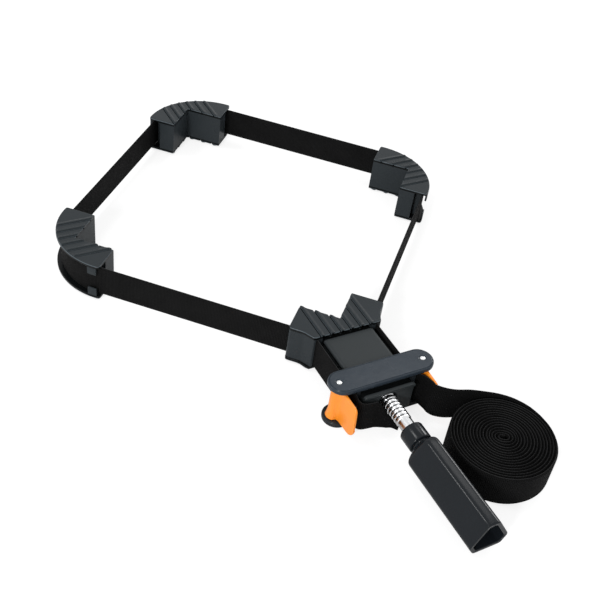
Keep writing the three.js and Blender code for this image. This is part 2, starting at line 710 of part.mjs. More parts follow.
// Quick release levers: a cam round the pin and a flat finger tab
function lever() {
  const reach = PIN_OUT - LEG_OUT - CLEAR;
  const cam = [];
  for (let i = 0; i < ROUND_STEPS; i += 1) {
    const t = (2 * Math.PI * i) / ROUND_STEPS;
    const lobe = Math.max(0, Math.cos(t)) ** CAM_LOBE_POWER;
    const r = CAM_RADIUS + (reach - CAM_RADIUS) * lobe;
    cam.push(v2(-r * Math.cos(t), r * Math.sin(t)));
  }
  cam.reverse();
  const tab = rounded([
    v2(TAB_ROOT_OUT - TAB_ROOT, 0), v2(TAB_TIP_OUT - TAB_TIP, -TAB_REACH),
    v2(TAB_TIP_OUT, -TAB_REACH), v2(TAB_ROOT_OUT, 0),
  ], [0, TAB_FILLET, TAB_FILLET, 0]);
  const hole = solid(upright(PIN_RADIUS + CLEAR, 0, YOKE_TOP + CUT));
  const low = YOKE_PLATE + CLEAR;
  const high = YOKE_TOP - CLEAR;
  const side = rounded([
    v2(0, low), v2(0, high), v2(TAB_RAKE - TAB_REACH, high), v2(-TAB_REACH, low),
  ], [0, 0, TAB_TOP_ROUND, TAB_FOOT_ROUND]);
  const across = prism(side, -reach, reach);
  across.rotateX(Math.PI / 2);
  across.rotateZ(Math.PI / 2);
  return cutAll(join([
    solid(prism(cam, low, high)), solid(prism(tab, low, high)).intersect(solid(across)),
  ]), [hole]);
}
for (const [side, s] of [['left', -1], ['right', 1]]) {
  const g = geometryOf(lever());
  if (s < 0) {
    g.scale(s, 1, 1);
    const corner = g.index.array;
    for (let i = 0; i < corner.length; i += 3) {
      [corner[i], corner[i + 1]] = [corner[i + 1], corner[i]];
    }
  }
  put(yoke, `lever_${side}`, g, orange).position.x = s * PIN_OUT;
}

// Short tail: curls round behind the neck and down to the table, cut on a slant so that it
// passes under the spindle
const route = (points) => new THREE.CatmullRomCurve3(
  points.map(([x, y, low, high]) => new THREE.Vector3(x, y, low)), false, 'centripetal',
);
function sampled(points, steps) {
  const curve = route(points);
  const highs = new THREE.CatmullRomCurve3(
    points.map(([x, y, low, high]) => new THREE.Vector3(x, y, high)), false, 'centripetal',
  );
  const plan = [];
  const low = [];
  const high = [];
  for (let i = 0; i <= steps; i += 1) {
    const p = curve.getPoint(i / steps);
    plan.push(v2(p.x, p.y));
    low.push(p.z);
    high.push(highs.getPoint(i / steps).z);
  }
  return [plan, low, high];
}
const behind = NECK_REAR + NECK_LIP;
const SHORT_ROUTE = [
  [-LEG_MIDDLE, -LEG_SEAM, BAND_BOTTOM, BAND_TOP],
  [-LEG_MIDDLE, -YOKE_BACK, BAND_BOTTOM, BAND_TOP],
  [-LEG_MIDDLE, 4 - behind, BAND_BOTTOM, BAND_TOP],
  [-24.2, -0.4 - behind, 2.6, BAND_WIDTH + 2.6],
  [-22.6, -2.6 - behind, 1.2, BAND_WIDTH + 1.2],
  [-19, -3.9 - behind, 0.3, BAND_WIDTH + 0.3],
  [-14.6, -4.2 - behind, 0, BAND_WIDTH],
  [-9.8, -3.6 - behind, 0, BAND_WIDTH - 4],
  [-6, -4.6 - behind, 0, TIP_CUT],
  [-2.5, -6 - behind, 0, TIP_CUT],
  [1, -7.4 - behind, 0, TIP_CUT],
  [4, -11 - behind, 0, TIP_CUT],
];
put(clamp, 'band_tail_short', ribbon(...sampled(SHORT_ROUTE, 54)), webbing);

// The roll: one unbroken spiral, wound clockwise from outside to inside, a little flat
// on the side where the long tail runs on to it
const rollMiddle = ROLL_RADIUS - BAND_THICK / 2;
function onRoll(turn) {
  const t = -turn;
  const lean = Math.max(0, Math.cos(t - Math.PI / 4));
  const r = (rollMiddle - (ROLL_PITCH * turn) / (2 * Math.PI)) * (1 - ROLL_FLAT_SHARE * lean ** 4);
  return v2(ROLL_X + r * Math.cos(t), -ROLL_BACK + r * Math.sin(t));
}
const rollPath = Array.from(
  { length: ROLL_TURNS * TURN_STEPS + 1 },
  (_, i) => onRoll((2 * Math.PI * i) / TURN_STEPS),
);
put(clamp, 'band_roll', ribbon(rollPath, 0, BAND_WIDTH), webbing);

let rollGap = Infinity;
for (let i = 0; i + TURN_STEPS < rollPath.length; i += 1) {
  const apart = rollPath[i].distanceTo(rollPath[i + TURN_STEPS]);
  rollGap = Math.min(rollGap, apart - BAND_THICK);
}
console.log(`least gap between turns of the roll: ${rollGap.toFixed(2)} mm over ${ROLL_TURNS} turns`);

// Long tail: leaves the right cam inside the lever's tab, sinks to the table and joins the roll
const joinTurn = -CLEAR / rollMiddle;
const near = (share) => onRoll(joinTurn - share * Math.PI);
const nearPoint = (share, lift) => {
  const p = near(share);
  return [p.x, p.y, lift * BAND_BOTTOM, BAND_WIDTH + lift * BAND_BOTTOM];
};
const atBand = (x, back, lift) => (
  [x, -YOKE_BACK - back, lift * BAND_BOTTOM, BAND_WIDTH + lift * BAND_BOTTOM]
);
const LONG_ROUTE = [
  [LEG_MIDDLE, -LEG_SEAM, BAND_BOTTOM, BAND_TOP],
  atBand(LEG_MIDDLE, 0, 1),
  atBand(LEG_MIDDLE + CLEAR / 2, 8.7, 1),
  atBand(26, 12.4, 1),
  atBand(28.1, 16.6, 1),
  atBand(29, 20.4, 1),
  atBand(29.2, 23, 1),
  atBand(29.6, 25.1, 1),
  atBand(31.2, 26.3, 1),
  atBand(34, 27.2, 1),
  atBand(38.2, 28.5, 1),
  atBand(43.8, 30.3, 0.95),
  atBand(51.4, 33.3, 0.8),
  atBand(62.4, 39.9, 0.5),
  nearPoint(0.24, 0.22),
  nearPoint(0.15, 0.07),
  nearPoint(0.07, 0),
  nearPoint(0, 0),
];
put(clamp, 'band_tail_long', ribbon(...sampled(LONG_ROUTE, 66)), webbing);

// The origin is the middle of the yoke's foot
clamp.position.set(0, YOKE_BACK, 0);
clamp.updateMatrixWorld(true);

const part = new THREE.Group();
part.add(clamp);
export default part;
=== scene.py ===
import bmesh
import bpy
import numpy as np
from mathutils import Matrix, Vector


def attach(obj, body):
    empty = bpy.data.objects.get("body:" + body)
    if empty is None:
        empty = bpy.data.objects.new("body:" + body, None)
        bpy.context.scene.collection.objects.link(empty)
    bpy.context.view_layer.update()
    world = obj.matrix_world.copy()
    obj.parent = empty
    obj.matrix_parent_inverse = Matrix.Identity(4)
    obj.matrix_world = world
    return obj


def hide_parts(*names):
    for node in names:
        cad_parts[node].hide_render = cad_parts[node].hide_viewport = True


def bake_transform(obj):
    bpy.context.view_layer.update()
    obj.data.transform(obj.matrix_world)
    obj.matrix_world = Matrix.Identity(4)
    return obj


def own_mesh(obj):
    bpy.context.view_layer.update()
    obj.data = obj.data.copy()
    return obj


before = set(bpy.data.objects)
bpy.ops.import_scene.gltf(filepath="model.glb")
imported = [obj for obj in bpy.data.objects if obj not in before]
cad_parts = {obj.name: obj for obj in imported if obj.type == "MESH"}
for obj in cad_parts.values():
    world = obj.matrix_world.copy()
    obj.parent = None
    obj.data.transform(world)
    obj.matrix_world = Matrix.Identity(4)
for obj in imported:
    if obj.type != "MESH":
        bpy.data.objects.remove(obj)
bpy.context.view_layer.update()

# The camera: looks down on the clamp from its left front, as a studio camera on a stand does,
# with the whole loop and the grip in a square picture.
camera_place = (-0.300254, -0.360036, 0.482150)
camera_tilt, camera_roll, camera_heading = 49.1189, -6.4736, -26.8510


def in_scene(name, data):
    """A new object that holds the data, in the scene."""
    thing = bpy.data.objects.new(name, data)
    bpy.context.scene.collection.objects.link(thing)
    return thing


camera = in_scene("studio_camera", bpy.data.cameras.new("studio_camera"))
camera.data.sensor_width = 36.0
camera.data.lens = 58.483
camera.data.clip_end = 20.0
camera.location = camera_place
camera.rotation_euler = np.radians((camera_tilt, camera_roll, camera_heading))
bpy.context.scene.camera = camera

# The webbing band: one band of black woven polyester, 25 mm wide and 1.5 mm thick, with fine
# ribs across it. It stands on edge, runs round the three loose jaws, through the head and back
# to the two cams; a short end curls behind the neck and the spare end lies in a flat roll. Plan
# sizes are in mm from the head's working corner, head_y from the origin, with Y to the far jaw.
head_y = 57.343
band_thick, band_width, band_foot = 1.5, 25.0, 4.4
band_head = band_foot + band_width
left_edge, right_edge = 205.0, 211.0
root2 = np.sqrt(2.0)
rim_radius, rim_centre = 51.0, -38.6
band_radius = 46.95
run_offset = 47.7 + rim_centre / root2 - band_thick / 2
run_seam, head_seam, seam_gap = 29.594, 29.613, 0.03
leg_x, leg_front, leg_rear, pass_bend = 23.95, -10.6, -50.2, 8.0
loose_roll_thick = 2.0
sides = (("left", -1.0), ("right", 1.0))


def arc_points(cx, cy, radius, start, end, count):
    """Points of a circle about (cx, cy): (cx + r cos t, cy + r sin t), t from start to end."""
    t = np.linspace(start, end, count)
    return np.stack([cx + radius * np.cos(t), cy + radius * np.sin(t)], 1)


def whole_circle(cx, cy, radius, count):
    """The same once round, from +X, with its last point left out."""
    return arc_points(cx, cy, radius, 0, 2 * np.pi, count + 1)[:-1]


def distances(path):
    """The distance along a path from its start to each of its points."""
    return np.concatenate([[0], np.cumsum(np.linalg.norm(np.diff(path, axis=0), axis=1))])


def read_off(path, at, places):
    """A path's columns read off at the places, by straight lines between its points at `at`."""
    return np.stack([np.interp(places, at, column) for column in path.T], 1)


def plan_sides(path):
    """Unit vectors to the left of a plan path: its central differences turned a quarter turn."""
    step = np.gradient(path, axis=0)
    step = step / np.linalg.norm(step, axis=1)[:, None]
    return np.stack([-step[:, 1], step[:, 0]], 1)


def mesh_from(name, finish, parts, uvs=None, crease=40.0):
    """Joins (vertices in mm, faces) shells into one mesh in metres and one material, facing
    outwards, with a hard edge where two faces turn by more than crease degrees."""
    vertices, faces, start = [], [], 0
    for v, f in parts:
        vertices.append(v)
        faces += [tuple(int(i) + start for i in face) for face in f]
        start += len(v)
    co = (np.concatenate(vertices) + np.array([0.0, head_y, 0.0])) / 1000.0
    mesh = bpy.data.meshes.new(name)
    mesh.from_pydata(co.tolist(), [], faces)
    if uvs is not None:
        corner = np.zeros(len(mesh.loops), np.int32)
        mesh.loops.foreach_get("vertex_index", corner)
        layer = mesh.uv_layers.new(name="Weave")
        layer.data.foreach_set("uv", np.concatenate(uvs)[corner].astype(np.float32).ravel())
    shells = bmesh.new()
    shells.from_mesh(mesh)
    bmesh.ops.recalc_face_normals(shells, faces=shells.faces)
    shells.to_mesh(mesh)
    shells.free()
    mesh.shade_smooth()
    mesh.set_sharp_from_angle(angle=np.radians(crease))
    mesh.materials.append(finish)
    mesh.update()
    return in_scene(name, mesh)


def tube_faces(rings, around):
    """Quads of a grid of rings that closes on itself, and a flat face on each end."""
    i, k = np.meshgrid(np.arange(rings - 1), np.arange(around), indexing="ij")
    a, b = i * around + k, i * around + (k + 1) % around
    quads = np.stack([a, b, b + around, a + around], -1).reshape(-1, 4).tolist()
    last = (rings - 1) * around
    return quads + [list(range(around))[::-1], list(range(last, last + around))]


def webbing_strip(path, foot, head, start, lean, thick):
    """A flat section with half round edges at foot and head, carried along a plan path; lean
    moves the head to the path's left and the foot to its right. Returns vertices, faces and UVs:
    mm along the band and up it."""
    n, levels = len(path), 15
    foot, head, lean = (np.broadcast_to(np.asarray(a, float), n) for a in (foot, head, lean))
    up = np.concatenate([np.linspace(0, 1, levels), np.linspace(1, 0, levels)[1:-1]])
    side = np.concatenate([np.ones(levels), -np.ones(levels - 2)])
    edge = np.minimum(up, 1 - up) * band_width / (thick / 2)
    swell = np.sqrt(1 - np.clip(1 - edge, 0, 1) ** 2)
    across = side * np.maximum(swell, 0.06) * thick / 2
    shift = lean[:, None] * (up[None, :] - 0.5) - across[None, :]
    xy = path[:, None, :] + plan_sides(path)[:, None, :] * shift[:, :, None]
    rise = (head - foot)[:, None] * up[None, :]
    vertices = np.concatenate([xy, (foot[:, None] + rise)[:, :, None]], 2).reshape(-1, 3)
    along = np.repeat(start + distances(path), len(up))
    return vertices, tube_faces(n, len(up)), np.stack([along, rise.ravel()], 1)


def bend_corners(points, radii, steps=10):
    """Each inner corner of a path becomes an arc of its radius, tangent to both of its sides."""
    out = [points[0][None]]
    for p, q, r, radius in zip(points[:-2], points[1:-1], points[2:], radii):
        a, b = (p - q) / np.linalg.norm(p - q), (r - q) / np.linalg.norm(r - q)
        half = np.arccos(np.clip(a @ b, -1, 1)) / 2
        if radius <= 0:
            out.append(q[None])
            continue
        centre = q + (a + b) / np.linalg.norm(a + b) * radius / np.sin(half)
        first = q + a * radius / np.tan(half) - centre
        last = q + b * radius / np.tan(half) - centre
        t0 = np.arctan2(first[1], first[0])
        turn = (np.arctan2(last[1], last[0]) - t0 + np.pi) % (2 * np.pi) - np.pi
        out.append(arc_points(*centre, radius, t0, t0 + turn, steps))
    out.append(points[-1][None])
    return np.concatenate(out)


def evenly(path, pitch):
    """The same path with points about a pitch apart, by distance along it."""
    s = distances(path)
    return read_off(path, s, np.linspace(0, s[-1], max(2, int(round(s[-1] / pitch)) + 1)))


def smooth_route(points, count):
    """A curve through the points: between each two a cubic, its end slopes weighed by the root of
    the distances round them, read off at count places by distance in plan."""
    p = np.asarray(points, float)
    p = np.concatenate([[2 * p[0] - p[1]], p, [2 * p[-1] - p[-2]]])
    gap = np.sqrt(np.linalg.norm(np.diff(p[:, :3], axis=0), axis=1))[:, None]
    a, b, c, d = p[:-3], p[1:-2], p[2:-1], p[3:]
    g0, g1, g2 = gap[:-2], gap[1:-1], gap[2:]
    leave = ((b - a) / g0 - (c - a) / (g0 + g1) + (c - b) / g1) * g1
    reach = ((c - b) / g1 - (d - b) / (g1 + g2) + (d - c) / g2) * g1
    t = np.linspace(0, 1, 24, endpoint=False)[:, None, None]
    curve = (b + leave * t + (3 * (c - b) - 2 * leave - reach) * t ** 2
             + (2 * (b - c) + leave + reach) * t ** 3)
    curve = np.concatenate([curve.transpose(1, 0, 2).reshape(-1, p.shape[1]), p[-2][None]])
    s = distances(curve[:, :2])
    return read_off(curve, s, np.linspace(0, s[-1], count))


def node_group(name, inputs, outputs):
    """An empty shader node group with float sockets, or vector sockets where the name says so."""
    group = bpy.data.node_groups.new(name, "ShaderNodeTree")
    for label, default in inputs.items():
        kind = "NodeSocketVector" if label == "Vector" else "NodeSocketFloat"
        socket = group.interface.new_socket(name=label, in_out="INPUT", socket_type=kind)
        if default is not None:
            socket.default_value = default
    for label in outputs:
        group.interface.new_socket(name=label, in_out="OUTPUT", socket_type="NodeSocketFloat")
    return group, group.nodes.new("NodeGroupInput"), group.nodes.new("NodeGroupOutput")


def new_node(tree, kind, inputs=(), group=None):
    """A shader node; its inputs, by name or number, take a value or a socket that feeds them."""
    node = tree.nodes.new("ShaderNode" + kind)
    if group is not None:
        node.node_tree = group
    for label, value in dict(inputs).items():
        if hasattr(value, "node"):
            tree.links.new(value, node.inputs[label])
        else:
            node.inputs[label].default_value = value
    return node


def maths(tree, operation, *values):
    """One math node on sockets or numbers; returns its output socket."""
    node = new_node(tree, "Math", enumerate(values))
    node.operation = operation
    return node.outputs[0]


def clamped(tree, value, least=0.0):
    """A value held between least and 1."""
    return maths(tree, "MINIMUM", maths(tree, "MAXIMUM", value, least), 1.0)


def weave_group():
    """Ribs across the band as a rounded wave of the distance along it, broken by the warp ends
    across it, which shift by half a pitch from rib to rib. Its shade paints the rib tops lighter
    than the hollows, painted shade of the weave, and the selvedges paler, a painted highlight
    along both edges of the band."""
    group, enter, leave = node_group(
        "Woven ribs", {"Along": None, "Across": None, "Pitch": None, "Warp": None},
        ("Height", "Shade"))
    turns = maths(group, "DIVIDE", enter.outputs["Along"], enter.outputs["Pitch"])
    wave = maths(group, "SINE", maths(group, "MULTIPLY", turns, 2 * np.pi))
    odd = maths(group, "MODULO", maths(group, "FLOOR", turns), 2.0)
    warp = maths(group, "DIVIDE", enter.outputs["Across"], enter.outputs["Warp"])
    warp = maths(group, "ADD", warp, maths(group, "MULTIPLY", odd, 0.5))
    crossing = maths(group, "SINE", maths(group, "MULTIPLY", warp, 2 * np.pi))
    rise = maths(group, "MULTIPLY_ADD", wave, 0.5, 0.5)
    over = maths(group, "MULTIPLY_ADD", crossing, 0.5, 0.5)
    height = maths(group, "MULTIPLY_ADD", over, 0.35, maths(group, "MULTIPLY", rise, 0.65))
    group.links.new(height, leave.inputs["Height"])
    middle, selvedge_start, fade = band_width / 2, 12.1, 0.25
    away = maths(group, "ABSOLUTE", maths(group, "SUBTRACT", enter.outputs["Across"], middle))
    selvedge_highlight = clamped(group, maths(group, "MULTIPLY_ADD", away, 1 / fade, -selvedge_start / fade))
    # Rib tops painted lighter than the hollows: painted shade; the selvedges: a painted highlight.
    shade = maths(group, "MULTIPLY_ADD", height, 1.7, 0.15)
    shade = maths(group, "MULTIPLY_ADD", selvedge_highlight, 6.5, shade)
    group.links.new(shade, leave.inputs["Shade"])
    return group


def tinted(tree, colour, shade):
    """A colour multiplied by a shade that varies over the surface; returns the colour socket."""
    mix = new_node(tree, "Mix")
    mix.data_type, mix.blend_type = "RGBA", "MULTIPLY"
    mix.inputs["Factor"].default_value = 1.0
    mix.inputs["A"].default_value = (*colour, 1)
    grey = new_node(tree, "CombineColor", {0: shade, 1: shade, 2: shade})
    tree.links.new(grey.outputs[0], mix.inputs["B"])
    return mix.outputs["Result"]


def new_material(name, roughness, gloss, metallic=0.0):
    """A material with one Principled shader; gloss is its specular level."""
    material = bpy.data.materials.new(name)
    material.use_nodes = True
    tree = material.node_tree
    shader = tree.nodes["Principled BSDF"]
    shader.inputs["Roughness"].default_value = roughness
    shader.inputs["Specular IOR Level"].default_value = gloss
    shader.inputs["Metallic"].default_value = metallic
    return material, tree, shader


def bumped(tree, shader, height, distance, under=None):
    """Raises a height socket on the shader by a Bump node of that distance in metres."""
    bump = new_node(tree, "Bump", {"Distance": distance, "Height": height})
    if under is not None:
        tree.links.new(under, bump.inputs["Normal"])
    tree.links.new(bump.outputs["Normal"], shader.inputs["Normal"])
    return bump.outputs["Normal"]


woven_ribs = weave_group()


def webbing_finish(name, colour, pitch=1.1, warp=1.6):
    """Woven polyester: painted shade of its ribs, a painted highlight on its selvedges, a bump
    that raises the ribs, and broad patches of wear that wander along it.
    Its weave pitches, along and across, are in mm, as its UV map is."""
    material, tree, shader = new_material(name, 0.8, 0.08)
    uv = new_node(tree, "UVMap")
    uv.uv_map = "Weave"
    split = new_node(tree, "SeparateXYZ", {0: uv.outputs["UV"]})
    ribs = new_node(tree, "Group", {"Along": split.outputs["X"], "Across": split.outputs["Y"],
                                    "Pitch": pitch, "Warp": warp}, woven_ribs)
    wear = new_node(tree, "TexNoise", {"Vector": uv.outputs["UV"], "Scale": 0.06, "Detail": 3.0})
    cloud = maths(tree, "MULTIPLY_ADD", wear.outputs["Fac"], 1.1, 0.45)
    shade = maths(tree, "MULTIPLY", ribs.outputs["Shade"], cloud)
    tree.links.new(tinted(tree, colour, shade), shader.inputs["Base Color"])
    bumped(tree, shader, ribs.outputs["Height"], 0.00035)
    return material


# The spare end is coloured a little darker than the stretches that run round the work.
webbing_black = webbing_finish("webbing_black", (0.0050, 0.0050, 0.0051))
webbing_spare = webbing_finish("webbing_spare", (0.0034, 0.0034, 0.0035))


def band_piece(name, path, node, foot=band_foot, head=band_head, start=0.0, lean=0.0,
               finish=webbing_black, thick=band_thick):
    """One stretch of the webbing along a plan path, standing in for one node."""
    vertices, faces, uv = webbing_strip(path, foot, head, start, lean, thick)
    piece = mesh_from(name, finish, [(vertices, faces)], [uv], 60.0)
    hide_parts(node)
    return piece


def placed(path, corner, turn):
    """A plan path turned about a corner's own axis and moved to that corner."""
    c, s = np.cos(turn), np.sin(turn)
    return path @ np.array([[c, s], [-s, c]]) + np.array(corner)


corners = {
    "left": ((-left_edge / root2, left_edge / root2), np.pi / 2),
    "far": (((right_edge - left_edge) / root2, (left_edge + right_edge) / root2), 0.0),
    "right": ((right_edge / root2, right_edge / root2), -np.pi / 2),
}
jaw_arc = arc_points(0, rim_centre, band_radius, np.pi / 4, 3 * np.pi / 4, 61)
lead = run_seam + rim_centre / root2
jaw_arc = np.concatenate([jaw_arc[:1] + np.array([lead, -lead]) / root2, jaw_arc,
                          jaw_arc[-1:] - np.array([lead, lead]) / root2])
for side, (corner, turn) in corners.items():
    wrap = band_piece(f"webbing_round_{side}_jaw", placed(jaw_arc[::-1], corner, turn),
                      f"band_arc_{side}")
    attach(wrap, f"{side}_jaw")

run_table = {
    "left": ((0.0, 0.0), 3 * np.pi / 4, left_edge, head_seam, run_seam),
    "far_left": (corners["left"][0], np.pi / 4, right_edge, run_seam, run_seam),
    "far_right": (corners["far"][0], -np.pi / 4, left_edge, run_seam, run_seam),
    "right": (corners["right"][0], -3 * np.pi / 4, right_edge, run_seam, head_seam),
}
run_ends = {}
for side, (corner, turn, edge, near, far) in run_table.items():
    along = np.linspace(near + seam_gap, edge - far - seam_gap, 74)
    path = placed(np.stack([along, np.full_like(along, run_offset)], 1), corner, turn)
    piece = band_piece(f"webbing_run_{side}", path, f"band_run_{side}")
    run_ends[side] = (piece, [Vector((p[0] / 1000, (p[1] + head_y) / 1000, 0.0169))
                              for p in (path[0], path[-1])])
piece, (near, far) = run_ends["left"]
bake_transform(piece)
piece, (near, far) = run_ends["right"]
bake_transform(piece)
piece, (near, far) = run_ends["far_left"]
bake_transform(piece)
piece, (near, far) = run_ends["far_right"]
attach(piece, "right_jaw")
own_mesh(piece)


def wing(along, out):
    """A point given by its distance along the head's right wing and out from it."""
    return np.array([(along + out) / root2, (along - out) / root2])


head_bend = wing(leg_x * root2 - run_offset, run_offset)
for side, sign in sides:
    flip = np.array([sign, 1.0])
    path = np.array([wing(head_seam, run_offset), head_bend, [leg_x, leg_front]])
    path = evenly(bend_corners(path, [pass_bend]), 0.8) * flip
    piece = band_piece(f"webbing_through_head_{side}", path, f"band_head_pass_{side}")
    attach(piece, "head")
    path = evenly(np.array([[leg_x, leg_front], [leg_x, leg_rear]]), 0.8) * flip
    piece = band_piece(f"webbing_leg_{side}", path, f"band_leg_{side}", start=22.0)
    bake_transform(piece)

short_route = smooth_route([
    [-23.95, -50.0, 4.4, 29.4], [-23.95, -57.343, 4.4, 29.4], [-23.95, -66.5, 4.4, 29.4],
    [-24.0, -70.4, 3.4, 28.4], [-22.8, -73.0, 2.2, 27.2], [-20.0, -74.1, 1.4, 26.4],
    [-15.0, -74.4, 0.6, 25.6], [-10.4, -74.4, 0.0, 24.6], [-7.8, -75.2, 0.0, 21.6],
    [-6.4, -75.9, 0.0, 19.4], [-5.2, -76.4, 0.0, 16.3], [-4.0, -77.0, 0.0, 14.8],
    [-2.5, -77.9, 0.0, 13.5], [1.0, -79.3, 0.0, 12.9], [4.0, -82.9, 0.0, 12.7]], 130)
short_tail = band_piece("webbing_short_tail", short_route[:, :2], "band_tail_short",
                        short_route[:, 2], short_route[:, 3], start=62.0, finish=webbing_spare)
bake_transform(short_tail)

roll_centre = np.array([50.6, -129.643])
roll_middle, roll_pitch, roll_turns, folded_turns = 35.2, 2.1, 16, 4


def on_roll(turn, bunch=0.0, fold=0.0):
    """The radius falls one pitch a clockwise turn, is drawn in by up to 2 % where the tail runs
    on, wanders by two slow sines where the turns bunch, and turns oval round the folded end by a
    cosine of twice the angle."""
    lean = np.maximum(0, np.cos(-turn - np.pi / 4)) ** 4
    radius = (roll_middle - roll_pitch * turn / (2 * np.pi)) * (1 - 0.02 * lean)
    radius = radius * (1 + fold * np.cos(2 * turn - 0.9))
    radius = radius - bunch * (2 * np.sin(0.37 * turn) + np.sin(1.13 * turn))
    return roll_centre + np.stack([radius * np.cos(-turn), radius * np.sin(-turn)], -1)


turns = np.linspace(0, 2 * np.pi * roll_turns, roll_turns * 72 + 1)
inmost = np.clip((turns / (2 * np.pi) - roll_turns + folded_turns) / 3, 0, 1)
roll_path = on_roll(turns, 0.04 * np.clip(turns / 6, 0, 1) * (1 - inmost), 0.2 * inmost)
roll = band_piece("webbing_roll", roll_path, "band_roll", 0.0, band_width, start=135.0,
                  finish=webbing_spare, thick=loose_roll_thick)
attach(roll, "head")

# Rows of place, rise as a share of the band's foot, and lean: out of the cam with Y from the
# yoke, in a loose bend, and onto the roll at a turn and a radius of it.
tail = np.array([(x, y - head_y, rise, lean) for x, y, rise, lean in (
    (23.95, 7.3, 1, 0), (23.95, 0, 1, 0), (24.3, -5.5, 1, 0), (26.6, -9.6, 1.05, 1.0),
    (27.7, -12.4, 1.12, 2.0), (28.2, -16.0, 1.25, 2.6), (28.3, -19.5, 1.4, 2.6),
    (28.4, -22.4, 1.45, 2.8), (30.2, -25.3, 1.45, 3.6), (32.6, -27.3, 1.4, 3.5),
    (35.6, -29.2, 1.35, 3.1), (41.1, -31.2, 1.2, 2.3), (51.0, -33.3, 0.92, 1.2),
    (61.0, -37.0, 0.62, 0.4))] + [
    (*(roll_centre + radius * np.array([np.cos(turn), np.sin(turn)])), rise, 0)
    for turn, radius, rise in ((1.02, 36.4, 0.38), (0.75, 36.2, 0.2), (0.45, 35.8, 0.07),
                               (0.2, 35.3, 0.0), (0.009, 35.02, 0.0))])
tail_foot = tail[:, 2] * band_foot
long_route = smooth_route(
    np.column_stack([tail[:, :2], tail_foot, tail_foot + band_width, tail[:, 3]]), 220)
long_tail = band_piece("webbing_long_tail", long_route[:, :2], "band_tail_long",
                       long_route[:, 2], long_route[:, 3], start=62.0, lean=long_route[:, 4],
                       finish=webbing_spare)
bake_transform(long_tail)

# The three corner jaws: moulded in slate grey glass filled nylon, two flanges joined by a core
# with a right angled notch. The band bears on the core's arc and hooks on the flanges keep it on.
# Six ribs, each with a groove at the foot of its steep side, run over the top and the underside.
body_foot, core_foot, core_head, body_head = 1.8, 4.1, 29.7, 32.0
jaw_reach, core_end, pocket_depth, bearing_radius = 22.0, 13.0, 8.0, 45.9
hook_length, hook_height, hook_thick = 7.0, 6.5, 1.5
rib_pitch = 7.8
rib_places = (np.arange(6) - 2.5) * rib_pitch
rib_across = [-2.8, -2.65, -2.55, -1.7, -1.6, -1.45, -1.15, -0.7, 0.2, 1.0, 1.8]
rib_rise = [0.0, -0.15, -1.8, -1.8, -0.2, 0.55, 0.8, 0.85, 0.6, 0.18, 0.0]


def inset(outline, distance):
    """A closed plan outline drawn in by a distance along the mitre of its two sides."""
    after = np.roll(outline, -1, 0) - outline
    after /= np.linalg.norm(after, axis=1)[:, None]
    before = np.roll(after, 1, 0)
    n1 = np.stack([-before[:, 1], before[:, 0]], 1)
    n2 = np.stack([-after[:, 1], after[:, 0]], 1)
    mitre = (n1 + n2) / np.maximum(1 + (n1 * n2).sum(1), 0.35)[:, None]
    return outline + mitre * distance


def right_way(outline):
    """The outline in anticlockwise order, by the sign of its area."""
    x, y = outline[:, 0], outline[:, 1]
    area = (x * np.roll(y, -1) - np.roll(x, -1) * y).sum()
    return outline if area > 0 else outline[::-1]


def moulded(outline, foot, head, edge=0.5, steps=4):
    """A closed outline carried up a profile with both edges rounded: at angle a of the quarter
    circle the outline is drawn in by edge (1 - cos a) and rises edge (1 - sin a)."""
    outline = right_way(outline)
    a = np.linspace(np.pi / 2, 0, steps + 1)
    draw = edge * (1 - np.cos(a))
    rise = edge * (1 - np.sin(a))
    levels = np.concatenate([foot + rise, head - rise[::-1]])
    draws = np.concatenate([draw, draw[::-1]])
    rings = [np.column_stack([inset(outline, d), np.full(len(outline), z)])
             for d, z in zip(draws, levels)]
    return np.concatenate(rings), tube_faces(len(rings), len(outline))


def mirrored(points):
    """The same points on the other side of the plan's Y axis, in reverse order."""
    return points[::-1] * np.array([-1.0, 1.0])


def two_edges(outline):
    """A closed outline's lower and upper edge as functions of its first coordinate, read off by
    straight interpolation both ways round from its least to its greatest."""
    first, last = outline[:, 0].argmin(), outline[:, 0].argmax()
    turned = np.roll(outline, -first, 0)
    cut = (last - first) % len(outline)
    one, other = turned[:cut + 1], np.concatenate([turned[cut:], turned[:1]])[::-1]
    if one[:, 1].mean() > other[:, 1].mean():
        one, other = other, one
    return [lambda x, e=e: np.interp(x, e[:, 0], e[:, 1]) for e in (one, other)]


